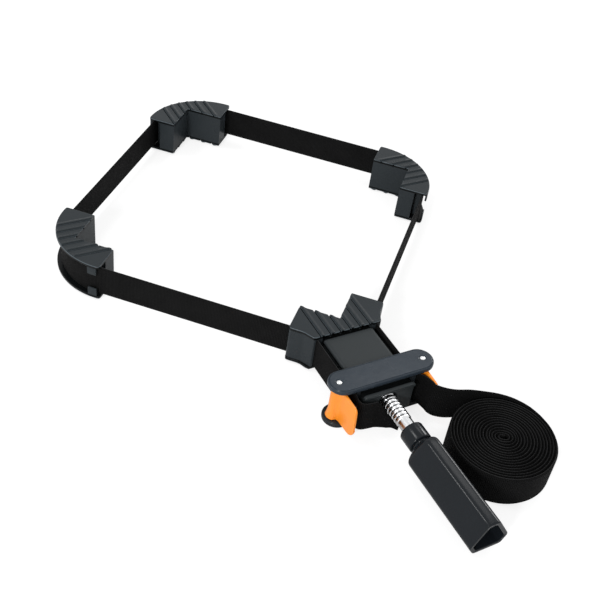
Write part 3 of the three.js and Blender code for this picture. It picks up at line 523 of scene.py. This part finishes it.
def ribbed_plate(outline, foot, head, edge, clear, upside_down=False, tuck=0.0, steep=1):
    """A rounded section for each X, from the plan's lower edge to its upper edge. Its top is the
    plate's face plus the ribs, turned round by steep = -1, which fade out at a clear distance
    from the upper edge. Upside down, it is mirrored about the jaw's middle height; tuck draws in
    the foot of the middle 40 mm of the lower edge."""
    lower, upper = two_edges(outline)
    reach = np.abs(outline[:, 0]).max() - 0.02
    ends = reach - np.array([0.0, 0.08, 0.25, 0.5, 0.9, 1.4, 2.0, 2.8, 4.0])
    xs = np.concatenate([(rib_places[:, None] + steep * np.array(rib_across)).ravel(), ends, -ends,
                         np.linspace(-reach + 4, reach - 4, 41), [0.0, jaw_reach, -jaw_reach]])
    xs = np.unique(np.round(xs, 3))
    lift = sum(np.interp(steep * (xs - place), rib_across, rib_rise) for place in rib_places)
    low, high = lower(xs)[:, None], upper(xs)[:, None]
    soft = np.minimum(edge, 0.45 * (high - low))
    q = np.linspace(0, np.pi / 2, 5)[None, :]
    inward, down = soft * (1 - np.cos(q)), soft * (1 - np.sin(q))
    u = 1 - (1 - np.linspace(0, 1, 22)[None, 1:-1]) ** 1.6
    top_y = np.concatenate([low + inward, low + soft + (high - low - 2 * soft) * u,
                            high - inward[:, ::-1]], 1)
    drop = np.concatenate([down, np.zeros((len(xs), u.shape[1])), down[:, ::-1]], 1)
    fade = np.clip((high - top_y - clear) / 0.9, 0, 1) if clear > 0 else np.ones_like(top_y)
    top_z = head + lift[:, None] * fade * fade * (3 - 2 * fade) - drop
    under = np.minimum(0.3, 0.45 * (high - low))
    tucked = low + tuck * np.clip(20.5 - np.abs(xs), 0, 1)[:, None]
    foot_y = np.concatenate([high, high - under, tucked + under, tucked], 1)
    foot_z = np.broadcast_to([foot + 0.3, foot, foot, foot + 0.3], foot_y.shape)
    y, z = np.concatenate([top_y, foot_y], 1), np.concatenate([top_z, foot_z], 1)
    if upside_down:
        z = body_foot + body_head - z
    vertices = np.stack([np.broadcast_to(xs[:, None], y.shape), y, z], -1).reshape(-1, 3)
    return vertices, tube_faces(len(xs), y.shape[1])


def jaw_plan(fillet=2.5):
    """Notch, end edges at 45 degrees, fillets that touch end edge and rim, and the rim's arc."""
    k = 2 * jaw_reach - fillet * root2
    b = k - rim_centre
    q = (k * k + rim_centre ** 2 - (rim_radius - fillet) ** 2) / 2
    t = (-b + np.sqrt(b * b - 4 * q)) / 2
    turn = np.arctan2(t - rim_centre, t + k)
    right = np.concatenate([[[jaw_reach, -jaw_reach]],
                            arc_points(t + k, t, fillet, -np.pi / 4, turn, 9)])
    rim = arc_points(0, rim_centre, rim_radius, turn, np.pi - turn, 73)[1:-1]
    return np.concatenate([[[0.0, 0.0]], right, rim, mirrored(right)]), turn


def grain_group():
    """Fine moulded grain from two noises on the object's own coordinates, with a faint cloud."""
    group, enter, leave = node_group(
        "Moulded grain", {"Vector": None, "Grain": 2200.0, "Cloud": 35.0},
        ("Height", "Shade", "Cloud"))
    fine, cloud = (new_node(group, "TexNoise", {"Vector": enter.outputs["Vector"],
                                                "Scale": enter.outputs[scale], "Detail": detail})
                   for scale, detail in (("Grain", 2.0), ("Cloud", 4.0)))
    group.links.new(fine.outputs["Fac"], leave.inputs["Height"])
    speck = maths(group, "MULTIPLY_ADD", fine.outputs["Fac"], 0.30, 0.85)
    broad = maths(group, "MULTIPLY_ADD", cloud.outputs["Fac"], 0.30, 0.85)
    group.links.new(maths(group, "MULTIPLY", speck, broad), leave.inputs["Shade"])
    group.links.new(cloud.outputs["Fac"], leave.inputs["Cloud"])
    return group


moulded_grain = grain_group()


def moulding_finish(name, colour, roughness, gloss, grain, depth, spread=0.12, sink=0.0,
                    metallic=0.0, cloud=30.0, painted_light_bands=()):
    """A colour with grain and cloud, roughness that wanders, a fine bump, and where sink is set
    the shallow waves that thick mouldings draw in as they cool. Each band of painted light
    (middle, low, high, gain) multiplies the colour by 1 + gain where the distance in mm from that
    middle height lies between low and high, with a soft border: a gain below zero is painted
    shade in grooves and recesses, and a gain above zero is a painted highlight on edges."""
    material, tree, shader = new_material(name, roughness, gloss, metallic)
    place = new_node(tree, "TexCoord").outputs["Object"]
    grains = new_node(tree, "Group", {"Vector": place, "Grain": grain, "Cloud": cloud},
                      moulded_grain)
    shade = grains.outputs["Shade"]
    steepness = 6.0
    for middle, low, high, gain in painted_light_bands:
        height = new_node(tree, "SeparateXYZ", {0: place}).outputs["Z"]
        away = maths(tree, "ABSOLUTE", maths(tree, "MULTIPLY_ADD", height, 1000.0, -middle))
        above = maths(tree, "MULTIPLY_ADD", away, steepness, -steepness * low)
        below = maths(tree, "MULTIPLY_ADD", away, -steepness, steepness * high)
        band = clamped(tree, maths(tree, "MINIMUM", above, below))
        shade = maths(tree, "MULTIPLY", shade, maths(tree, "MULTIPLY_ADD", band, gain, 1.0))
    tree.links.new(tinted(tree, colour, shade), shader.inputs["Base Color"])
    dull = maths(tree, "MULTIPLY_ADD", grains.outputs["Cloud"], spread, roughness - spread / 2)
    tree.links.new(dull, shader.inputs["Roughness"])
    waves = bumped(tree, shader, grains.outputs["Cloud"], sink) if sink else None
    bumped(tree, shader, grains.outputs["Height"], depth, waves)
    return material


# Its first band is painted shade on the floors of the rib grooves, and on the walls at those
# heights; the second is a painted highlight along the rounded edges of the flanges.
slate = moulding_finish("slate_nylon", (0.0235, 0.0285, 0.0320), 0.28, 0.12, 1500.0, 0.00006,
                        painted_light_bands=((16.9, 12.6, 14.2, -0.85), (16.9, 14.4, 14.98, 2.6)))


def jaw_parts(steep):
    """All mouldings of one corner jaw, about its own notch; steep = -1 turns its ribs round. The
    pocket's inner side runs out to the bearing's circle at edge."""
    plan, turn = jaw_plan()
    out, along = np.array([1.0, 1.0]) / root2, np.array([-1.0, 1.0]) / root2
    tip = np.array([jaw_reach, -jaw_reach])
    wall = tip + out * core_end
    inner = wall + along * pocket_depth
    q = inner - np.array([0, rim_centre])
    edge = inner + out * (-(q @ out) + np.sqrt((q @ out) ** 2 - q @ q + bearing_radius ** 2))
    edge_turn = np.arctan2(edge[1] - rim_centre, edge[0])
    half = np.array([tip, wall, inner, edge])
    bearing = arc_points(0, rim_centre, bearing_radius, edge_turn, np.pi - edge_turn, 49)[1:-1]
    core = np.concatenate([[[0.0, 0.0]], half, bearing, mirrored(half)])
    parts = [ribbed_plate(plan, core_head, body_head, 0.8, 0.3, steep=steep),
             ribbed_plate(plan, core_head, body_head, 0.6, 0.3, True, steep=steep),
             moulded(core, core_foot - 0.8, core_head + 0.8, 0.2, 1)]
    span = hook_length / rim_radius
    for start in (turn, np.pi - turn - span):
        hook = np.concatenate([
            arc_points(0, rim_centre, rim_radius - 0.05, start, start + span, 9),
            arc_points(0, rim_centre, rim_radius - hook_thick, start + span, start, 9)])
        parts.append(moulded(hook, core_head - hook_height, core_head + 1.2, 0.4, 3))
        parts.append(moulded(hook, core_foot - 1.2, core_foot + hook_height, 0.4, 3))
    return parts


# The right jaw lies the other way up, which turns its ribs round.
rib_turn = {"left": 1, "far": 1, "right": -1}
for side, (corner, turn) in corners.items():
    parts = [(np.column_stack([placed(v[:, :2], corner, turn), v[:, 2]]), f)
             for v, f in jaw_parts(rib_turn[side])]
    jaw = mesh_from(f"jaw_{side}", slate, parts)
    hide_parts(f"corner_jaw_{side}")
    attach(jaw, f"{side}_jaw")

# The head jaw: the fourth jaw, of the same nylon, carries the neck. The band goes in at each
# wing through a slot, bends inside and comes out at the rear beside the neck.
head_reach, head_side, head_cheek, head_rear, head_rear_half = 21.2, 24.6, 18.5, -12.3, 26.6
core_rear, core_half_x, slot_clear = -4.24, 20.0, 0.3
head_tip = np.array([head_reach, head_reach])


def head_half(foot):
    """Right half of the head's plan from the notch's tip to the rear corner, wider by foot."""
    out = head_side + foot / 2
    points = np.array([[0.0, 0.0], head_tip, wing(head_reach * root2, out), wing(head_cheek, out),
                       [head_rear_half + foot, head_rear], [0.0, head_rear]])
    return bend_corners(points, [0.0, 2.5, 9.0, 1.0], 9)[1:-1]


def head_outline(foot):
    """The head's whole plan in anticlockwise order."""
    half = head_half(foot)
    return right_way(np.concatenate([[[0.0, 0.0]], half, mirrored(half)]))


slot_path = np.array([wing(head_reach * root2, run_offset), head_bend, [leg_x, head_rear]])
slot_path = bend_corners(slot_path, [pass_bend])
slot_side = plan_sides(slot_path) * (band_thick / 2 + slot_clear)
inner_side, outer_side = slot_path - slot_side, slot_path + slot_side
core_half = np.concatenate([
    [[0.0, 0.0]], [head_tip], inner_side,
    [[core_half_x, head_rear], [core_half_x, core_rear], [0.0, core_rear]]])
cheek_half = np.concatenate([head_half(0.0)[1:], outer_side[::-1]])
head_parts = [ribbed_plate(head_outline(0.0), core_head - 0.5, body_head, 0.9, 0.0, tuck=3.0),
              ribbed_plate(head_outline(1.5), core_head, body_head, 0.6, 0.0, True)]
for flip in ([1.0, 1.0], [-1.0, 1.0]):
    head_parts.append(moulded(core_half * flip, core_foot - 0.8, core_head + 0.2, 0.1, 1))
    head_parts.append(moulded(cheek_half * flip, core_foot - 0.8, core_head + 0.05, 0.02, 1))
head = mesh_from("jaw_head", slate, head_parts)
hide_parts("head_jaw")
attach(head, "head")

# The neck: a box of plain grey nylon fixed in the head, its top sunk a little in the head and
# before the short lip at its rear. The spindle turns in the round mouth of its rear wall.
# Its band is painted shade along a strip 25.2 to 26.8 mm high: on the sunk top under the yoke
# plate and on the rear wall under the lip.
neck_grey = moulding_finish("neck_nylon", (0.0250, 0.0295, 0.0315), 0.42, 0.16, 1400.0, 0.00004,
                            painted_light_bands=((26.0, -1.0, 0.8, -0.85),))
neck_front, neck_rear, neck_half, neck_foot, neck_head = -4.54, -70.44, 19.7, 5.0, 28.7
neck_wall, neck_corner, neck_sunk, neck_edge = 3.0, 2.0, 2.4, 0.6
mouth_radius, lip_foot, lip_over, lip_length, lip_edge = 6.5, 26.2, 0.03, 1.15, 0.35
spindle_z = 19.3


def round_box(half_x, low, high, radius, count):
    """A rectangle in X and Z with rounded corners, as count points at even turns from +X."""
    corner = np.array([[half_x, high], [-half_x, high], [-half_x, low], [half_x, low]])
    path = np.concatenate([[[half_x, (low + high) / 2]], corner, [[half_x, (low + high) / 2]]])
    path = evenly(bend_corners(path, [radius] * 4, 9), 0.4)[:-1]
    turn = np.unwrap(np.arctan2(path[:, 1] - spindle_z, path[:, 0]))
    t = np.linspace(turn[0], turn[0] + 2 * np.pi, count, endpoint=False)
    path = np.concatenate([path, path[:1]])
    turn = np.append(turn, turn[0] + 2 * np.pi)
    return read_off(path, turn, t), t


def rings_back(sections):
    """Sections in X and Z, each at its own Y, stacked into one grid."""
    return np.concatenate([np.column_stack([s[:, 0], np.full(len(s), y), s[:, 1]])
                           for s, y in sections])


neck_round = 180
section, section_turn = round_box(neck_half, neck_foot, neck_head, neck_corner, neck_round)
inside, _ = round_box(neck_half - neck_wall, neck_foot + neck_wall, neck_head - neck_wall, 1.0,
                      neck_round)
mouth_middle = np.array([0.0, spindle_z])
mouth = mouth_middle + mouth_radius * np.stack([np.cos(section_turn), np.sin(section_turn)], 1)
centre = np.array([0.0, (neck_foot + neck_head) / 2])
lowered, _ = round_box(neck_half, neck_foot, neck_head - neck_sunk, neck_corner, neck_round)
neck_rings = [(lowered, neck_front), (lowered, head_rear - 1.1), (section, head_rear - 1.3),
              (section, neck_rear + 7.0), (lowered, neck_rear + 6.8),
              (lowered, neck_rear + neck_edge)]
for a in np.linspace(0, np.pi / 2, 4)[1:]:
    neck_rings.append((centre + (lowered - centre) * (1 - neck_edge * (1 - np.cos(a)) / 14),
                       neck_rear + neck_edge * (1 - np.sin(a))))
neck_rings += [(mouth_middle + (mouth - mouth_middle) * 1.1, neck_rear),
               (mouth, neck_rear + neck_edge), (mouth, neck_rear + neck_wall),
               (inside, neck_rear + neck_wall + 0.15), (inside, neck_front - neck_wall)]
neck_mesh = (rings_back(neck_rings), tube_faces(len(neck_rings), neck_round))
lip_top, _ = round_box(neck_half + lip_over, neck_foot, neck_head + lip_over, neck_corner,
                       neck_round)
lip_top = lip_top[lip_top[:, 1] > lip_foot]
lip_top = lip_top[np.argsort(lip_top[:, 0])]
lip_section = np.concatenate([lip_top, [[lip_top[-1, 0], lip_foot], [lip_top[0, 0], lip_foot]]])
lip_middle = lip_section.mean(0)
lip_rings = [(lip_section, neck_rear + 1.0), (lip_section, neck_rear - lip_length)]
for a in np.linspace(0, np.pi / 2, 4)[1:]:
    scale = 1 - np.array([0.018, 0.12]) * (1 - np.cos(a))
    lip_rings.append((lip_middle + (lip_section - lip_middle) * scale,
                      neck_rear - lip_length - lip_edge * np.sin(a)))
lip_mesh = (rings_back(lip_rings), tube_faces(len(lip_rings), len(lip_section)))
neck = mesh_from("neck", neck_grey, [neck_mesh, lip_mesh])
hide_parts("neck_housing")
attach(neck, "head")

# The yoke: two satin plates with round ends, each with a raised land inside a lower rim, riveted
# together through the cams. Between them stand two pads, against which the cams press the band.
plate_grey = moulding_finish("yoke_nylon", (0.0225, 0.0315, 0.0425), 0.27, 0.23, 1800.0, 0.00002,
                             spread=0.2, sink=0.0009)
# The lower plate and the pads use a darker copy of the same nylon, which is painted shade.
plate_shaded = moulding_finish("yoke_nylon_shaded", (0.0130, 0.0155, 0.0180), 0.32, 0.18, 1800.0,
                             0.00002)
pin_x = 32.3
plate_half, plate_round, plate_thick = 39.7, 10.0, 3.8
gap_z = (4.1, 30.7)
rivet_seat, seat_depth = 2.7, 0.55


def plate_ring(drawn_in, count=49):
    """Two half circles about the plate's two end centres, joined by straight sides with points of
    their own, the whole outline drawn in by a distance."""
    x, r = plate_half - plate_round, plate_round - drawn_in
    side = np.linspace(x, -x, 40)[1:-1]
    return np.concatenate([
        arc_points(x, 0, r, -np.pi / 2, np.pi / 2, count),
        np.stack([side, np.full_like(side, r)], 1),
        arc_points(-x, 0, r, np.pi / 2, 3 * np.pi / 2, count),
        np.stack([-side, np.full_like(side, -r)], 1)])


def yoke_plate(foot, head):
    """Rings of the outline drawn in step by step: up the rounded rim, over the step and across
    the land to the middle line, sunk round each rivet; the under side is the same, flipped."""
    profile = [(0.0, -1.5), (0.0, -1.1), (0.09, -0.7), (0.3, -0.35), (0.6, -0.16), (0.85, -0.14),
               (0.95, -0.3), (1.1, -0.42), (1.25, -0.3), (1.35, -0.06), (1.5, 0.0)]
    profile += [(d, 0.0) for d in np.linspace(2.0, 9.99, 24)]
    rings = []
    for drawn_in, z in profile:
        ring = plate_ring(drawn_in)
        from_pin = np.hypot(np.abs(ring[:, 0]) - pin_x, ring[:, 1])
        sunk = np.clip((rivet_seat - from_pin) / 0.4, 0, 1) * seat_depth
        rings.append(np.column_stack([ring, z - sunk]))
    top = [r + np.array([0, 0, head]) for r in rings]
    bottom = [r * np.array([1, 1, -1]) + np.array([0, 0, foot]) for r in rings]
    stack = np.concatenate(bottom[::-1] + top)
    return stack, tube_faces(2 * len(rings), len(rings[0]))


def at_yoke(parts):
    """The parts moved back from the head's corner to the yoke."""
    return [(v - np.array([0.0, head_y, 0.0]), f) for v, f in parts]


for name, node, foot, finish in (("plate_upper", "yoke_top_plate", 31.0, plate_grey),
                                 ("plate_lower", "yoke_bottom_plate", 0.0, plate_shaded)):
    plate = mesh_from(name, finish, at_yoke([yoke_plate(foot, foot + plate_thick)]))
    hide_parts(node)
    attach(plate, "yoke")

for side, sign in sides:
    outline = np.array([[20.0, -8.5], [22.9, -8.5], [22.9, 8.5], [20.0, 8.5]]) * [sign, 1]
    pad = mesh_from(f"pad_{side}", plate_shaded, at_yoke([moulded(outline, *gap_z, 0.3, 2)]))
    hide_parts(f"clamp_pad_{side}")
    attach(pad, "yoke")

# The bright steel pieces, zinc plated: the rivets with domed heads, the nut, the washer that
# takes the thrust in the head, and the spindle with its rolled thread of 3 mm pitch.
zinc = moulding_finish("zinc_plate", (0.78, 0.79, 0.80), 0.22, 0.5, 700.0, 0.000004,
                       spread=0.14, metallic=1.0, cloud=140.0)


def turned_piece(profile, count=48):
    """A profile of (radius, Y) pairs carried round the spindle's axis, with both ends closed."""
    rings = [(whole_circle(0, spindle_z, r, count), y) for r, y in profile]
    return rings_back(rings), tube_faces(len(rings), count)


rivet_radius, dome_foot, dome_rise, rivet_round = 1.85, 34.5, 0.5, 40
profile = [(rivet_radius - 0.05, 0.3), (rivet_radius, 0.5)]
profile += [(rivet_radius * np.cos(a), dome_foot + dome_rise * np.sin(a))
            for a in np.linspace(0, 1.45, 8)]
for side, sign in sides:
    rings = np.concatenate([np.column_stack([whole_circle(sign * pin_x, 0, r, rivet_round),
                                             np.full(rivet_round, z)]) for r, z in profile])
    rivet = [(rings, tube_faces(len(profile), rivet_round))]
    pin = mesh_from(f"rivet_{side}", zinc, at_yoke(rivet))
    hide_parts(f"pivot_pin_{side}")
    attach(pin, "yoke")


def thread_with_painted_shade(name):
    """The same plating, painted darker towards the spindle's axis by the distance from it in the
    object's own coordinates: painted shade in the thread's grooves."""
    colour = (0.80, 0.81, 0.82)
    steel = moulding_finish(name, colour, 0.2, 0.5, 700.0, 0.000003,
                            spread=0.1, metallic=1.0, cloud=140.0)
    tree = steel.node_tree
    shader = tree.nodes["Principled BSDF"]
    place = tree.nodes["Texture Coordinate"].outputs["Object"]
    split = new_node(tree, "SeparateXYZ", {0: place})
    up = maths(tree, "SUBTRACT", split.outputs["Z"], spindle_z / 1000)
    out = maths(tree, "SQRT", maths(tree, "MULTIPLY_ADD", up, up, maths(
        tree, "MULTIPLY", split.outputs["X"], split.outputs["X"])))
    groove_shade = clamped(tree, maths(tree, "MULTIPLY_ADD", out, 1100.0, -4.55), 0.06)
    tree.links.new(tinted(tree, colour, groove_shade), shader.inputs["Base Color"])
    return steel


thread_pitch, thread_core, thread_depth = 3.0, 3.95, 1.5
thread_end, runout, thread_round = -92.04, 1.2, 64
thread_y = np.arange(-14.0, thread_end, -0.2)
thread_t = np.linspace(0, 2 * np.pi, thread_round, endpoint=False)
phase = (thread_y[:, None] / thread_pitch - thread_t[None, :] / (2 * np.pi)) % 1.0
flank = np.clip(2.3 * (1 - np.abs(2 * phase - 1)) - 0.25, 0, 1)
flank = np.sin(flank * np.pi / 2)
ends = np.clip((thread_y - thread_end) / runout, 0, 1)[:, None]
thread_r = thread_core + thread_depth * flank * ends + (1 - ends)
thread = np.stack([thread_r * np.cos(thread_t), np.repeat(thread_y[:, None], thread_round, 1),
                   spindle_z + thread_r * np.sin(thread_t)], -1).reshape(-1, 3)
shaft = turned_piece([(4.9, -91.4), (4.95, -91.7), (4.95, -123.0)])
tip = turned_piece([(4.4, -10.2), (5.4, -11.2), (5.4, -14.5)])
spindle = mesh_from("spindle_screw", thread_with_painted_shade("thread_steel"),
                    [(thread, tube_faces(len(thread_y), thread_round)), shaft, tip])
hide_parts("spindle")
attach(spindle, "spindle")
for node in ("spindle_nut", "thrust_washer"):
    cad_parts[node].data.materials.clear()
    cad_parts[node].data.materials.append(zinc)

# The cam levers: two orange mouldings, each a cam round its rivet as high as the gap between the
# plates, and a thin finger tab that runs back from it with a hollow fillet on both sides.
orange = moulding_finish("lever_orange", (0.87, 0.262, 0.017), 0.34, 0.5, 1200.0, 0.00002)
(lever_foot, lever_head), tab_reach = gap_z, 24.6
cam_back, cam_rise, cam_flare, flare_height = 4.4, 2.9, 1.3, 8.0
cam_t = np.linspace(0, 2 * np.pi, 72, endpoint=False)
cam_r = cam_back + cam_rise * np.maximum(0, np.cos(cam_t)) ** 1.5
cam_levels = [(0.35, 0.0), (0.1, 0.12), (0.0, 0.4), (0.0, 1.2), (0.0, 2.4), (0.0, 3.8),
              (0.0, 5.4), (0.0, 7.4), (0.0, 10.0), (0.0, 25.6), (0.12, 26.2), (0.4, 26.5),
              (0.7, 26.6)]
tab_side = bend_corners(np.array([[0.0, lever_foot], [0.0, lever_head],
                                  [1.6 - tab_reach, lever_head], [-tab_reach, lever_foot],
                                  [0.0, lever_foot]]), [0.0, 3.5, 7.0], 14)[:-1]


def cam_barrel():
    """The cam's radius grows towards the band as a power of a cosine. It is drawn in at both ends
    and flared at the foot as a square of the height, away from the band."""
    flare = cam_flare * np.clip(-np.cos(cam_t) + 0.3, 0, 1)
    rings = []
    for drawn_in, up in cam_levels:
        r = cam_r - drawn_in + flare * np.clip(1 - up / flare_height, 0, 1) ** 2
        rings.append(np.column_stack([-r * np.cos(cam_t), r * np.sin(cam_t),
                                      np.full_like(cam_t, lever_foot + up)]))
    return np.concatenate(rings), tube_faces(len(rings), len(cam_t))


def finger_tab():
    """A rounded upright section for each distance back: its sides taper evenly and swell as a
    square into the cam, and its foot and head follow the tab's side view."""
    y = -tab_reach + 0.1 + (tab_reach - 3.1) * (1 - np.cos(np.linspace(0, np.pi / 2, 44)))
    share = -y / tab_reach
    outer = 0.6 - 1.2 * share + 2.42 * np.clip(1 - (-y - 3.2) / 4.2, 0, 1) ** 2
    inner = -1.8 - 0.1 * share - 2.0 * np.clip(1 - (-y - 4.2) / 3.6, 0, 1) ** 2
    low, high = (edge(y)[:, None] for edge in two_edges(tab_side))
    outer, inner = outer[:, None], inner[:, None]
    soft = np.minimum(0.6, 0.48 * (outer - inner))
    a = np.linspace(0, np.pi / 2, 5)
    c, s = soft * (1 - np.cos(a)), soft * (1 - np.sin(a))
    x = np.concatenate([outer - c[:, ::-1], outer - c, inner + c[:, ::-1], inner + c], 1)
    z = np.concatenate([low + s[:, ::-1], high - s, high - s[:, ::-1], low + s], 1)
    ring_y = np.broadcast_to(y[:, None], x.shape)
    return np.stack([x, ring_y, z], -1).reshape(-1, 3), tube_faces(len(y), x.shape[1])


for side, sign in sides:
    parts = [(v * np.array([sign, 1.0, 1.0]) + np.array([sign * pin_x, 0.0, 0.0]), f)
             for v, f in (cam_barrel(), finger_tab())]
    lever = mesh_from(f"cam_lever_{side}", orange, at_yoke(parts))
    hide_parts(f"lever_{side}")
    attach(lever, f"lever_{side}")

# The grip: a hollow three sided moulding in semi gloss near black, with three broad ridges, a
# round collar at the spindle and an open end.
grip_black = moulding_finish("grip_nylon", (0.0080, 0.0100, 0.0125), 0.21, 0.17, 900.0, 0.00001)
grip_turn = np.linspace(0, 2 * np.pi, 180, endpoint=False)
grip_flat, grip_ridge, grip_wall = 10.6, 14.0, 2.6
collar_radius, collar_edge, grip_start, grip_end = 8.2, 1.0, -124.0, -187.6


def grip_section(shrink, soft):
    """Distance to the outline of a clipped triangle in each direction: the least of six planes,
    three flats and three ridges, blended by a power mean so that the corners are soft."""
    facing = np.radians(92.0) + np.arange(3) * 2 * np.pi / 3
    total = np.zeros_like(grip_turn)
    for distance, normals in ((grip_ridge - shrink, facing),
                              (grip_flat - shrink, facing + np.pi / 3)):
        c = np.cos(grip_turn[:, None] - normals[None, :])
        total += ((np.maximum(c, 1e-6) / distance * (c > 0)) ** soft).sum(1)
    radius = total ** (-1.0 / soft)
    return np.stack([radius * np.cos(grip_turn), spindle_z + radius * np.sin(grip_turn)], 1)


def round_section(radius):
    """A circle about the spindle's axis, with as many points as the grip's outline."""
    return whole_circle(0, spindle_z, radius, len(grip_turn))


grip_full = grip_section(0.0, 14.0)
grip_rings = [(round_section(5.3), -123.5), (round_section(5.3), -99.9)]
for a in np.linspace(np.pi / 2, 0, 6):
    radius = collar_radius - collar_edge * (1 - np.cos(a))
    grip_rings.append((round_section(radius), -99.54 - collar_edge * (1 - np.sin(a))))
for a in np.linspace(0, np.pi / 2, 5):
    radius = collar_radius - collar_edge * (1 - np.cos(a))
    grip_rings.append((round_section(radius), -111.3 - collar_edge * np.sin(a)))
grip_rings += [(round_section(6.3), -112.6), (round_section(6.2), -113.7),
               (round_section(7.0), -114.3)]
for u in np.linspace(0, 1, 9)[1:]:
    ease = np.sin(u * np.pi / 2)
    shoulder = round_section(7.6) * (1 - ease) + grip_full * ease
    grip_rings.append((shoulder, -114.5 - 6.0 * u ** 1.25))
for y in np.linspace(grip_start, grip_end + 0.3, 12):
    grip_rings.append((grip_full, y))
for a in np.linspace(0, np.pi / 2, 5)[1:]:
    grip_rings.append((grip_section(0.7 * (1 - np.cos(a)), 22.0), grip_end - 0.84 * np.sin(a)))
hollow = grip_section(grip_wall, 20.0)
grip_rings += [(grip_section(2.2, 21.0), -188.44), (hollow, -188.1), (hollow, -136.6)]
grip_faces = tube_faces(len(grip_rings), len(grip_turn))
grip = mesh_from("grip", grip_black, [(rings_back(grip_rings), grip_faces)])
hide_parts("handle")
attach(grip, "spindle")

# The table and the light: a white table without an edge in a photographer's white tent, and four
# small soft lamps: three behind, which draw bright lines along the ridges, and one in front.
table_mesh = bpy.data.meshes.new("table")
table_mesh.from_pydata([(-6, -6, 0), (6, -6, 0), (6, 6, 0), (-6, 6, 0)], [], [(0, 1, 2, 3)])
table = in_scene("table", table_mesh)
paper = bpy.data.materials.new("white_table")
paper.use_nodes = True
tree = paper.node_tree
tree.nodes.clear()
# Other rays find plain white paper; the camera sees it darker and glowing, so shadows stay soft.
white = new_node(tree, "BsdfDiffuse", {"Color": (0.8, 0.8, 0.8, 1)})
seen = new_node(tree, "BsdfDiffuse", {"Color": (0.3, 0.3, 0.3, 1)})
glow = new_node(tree, "Emission", {"Strength": 0.78})
both = new_node(tree, "AddShader", {0: seen.outputs[0], 1: glow.outputs[0]})
choose = new_node(tree, "MixShader", {0: new_node(tree, "LightPath").outputs["Is Camera Ray"],
                                      1: white.outputs[0], 2: both.outputs[0]})
new_node(tree, "OutputMaterial", {0: choose.outputs[0]})
table_mesh.materials.append(paper)

world = bpy.data.worlds.new("white_tent")
bpy.context.scene.world = world
world.use_nodes = True
tree = world.node_tree
sky = tree.nodes["Background"]
rays = new_node(tree, "LightPath").outputs
bright = maths(tree, "MAXIMUM", rays["Is Camera Ray"], rays["Is Glossy Ray"])
bright = maths(tree, "MAXIMUM", bright, rays["Is Transmission Ray"])
tree.links.new(maths(tree, "MULTIPLY_ADD", bright, 0.35, 0.65), sky.inputs["Strength"])
sky.inputs["Color"].default_value = (1, 1, 1, 1)


def soft_box(name, place, size, power, aim=(0, 0.05, 0)):
    """A square lamp that faces the middle of the clamp."""
    data = bpy.data.lights.new(name, "AREA")
    data.shape, data.size, data.energy = "SQUARE", size, power
    lamp = in_scene(name, data)
    lamp.location = place
    lamp.rotation_euler = (Vector(aim) - Vector(place)).to_track_quat("-Z", "Y").to_euler()


soft_box("back_left_light", (-0.89, 0.72, 1.49), 0.32, 6.0)
soft_box("back_middle_light", (0.82, 0.80, 1.48), 0.40, 1.7)
soft_box("back_right_light", (1.52, 0.72, 0.81), 0.32, 6.0)
soft_box("front_light", (-1.91, -1.28, 1.27), 0.35, 38.0)

bpy.context.scene.view_settings.view_transform = "Standard"
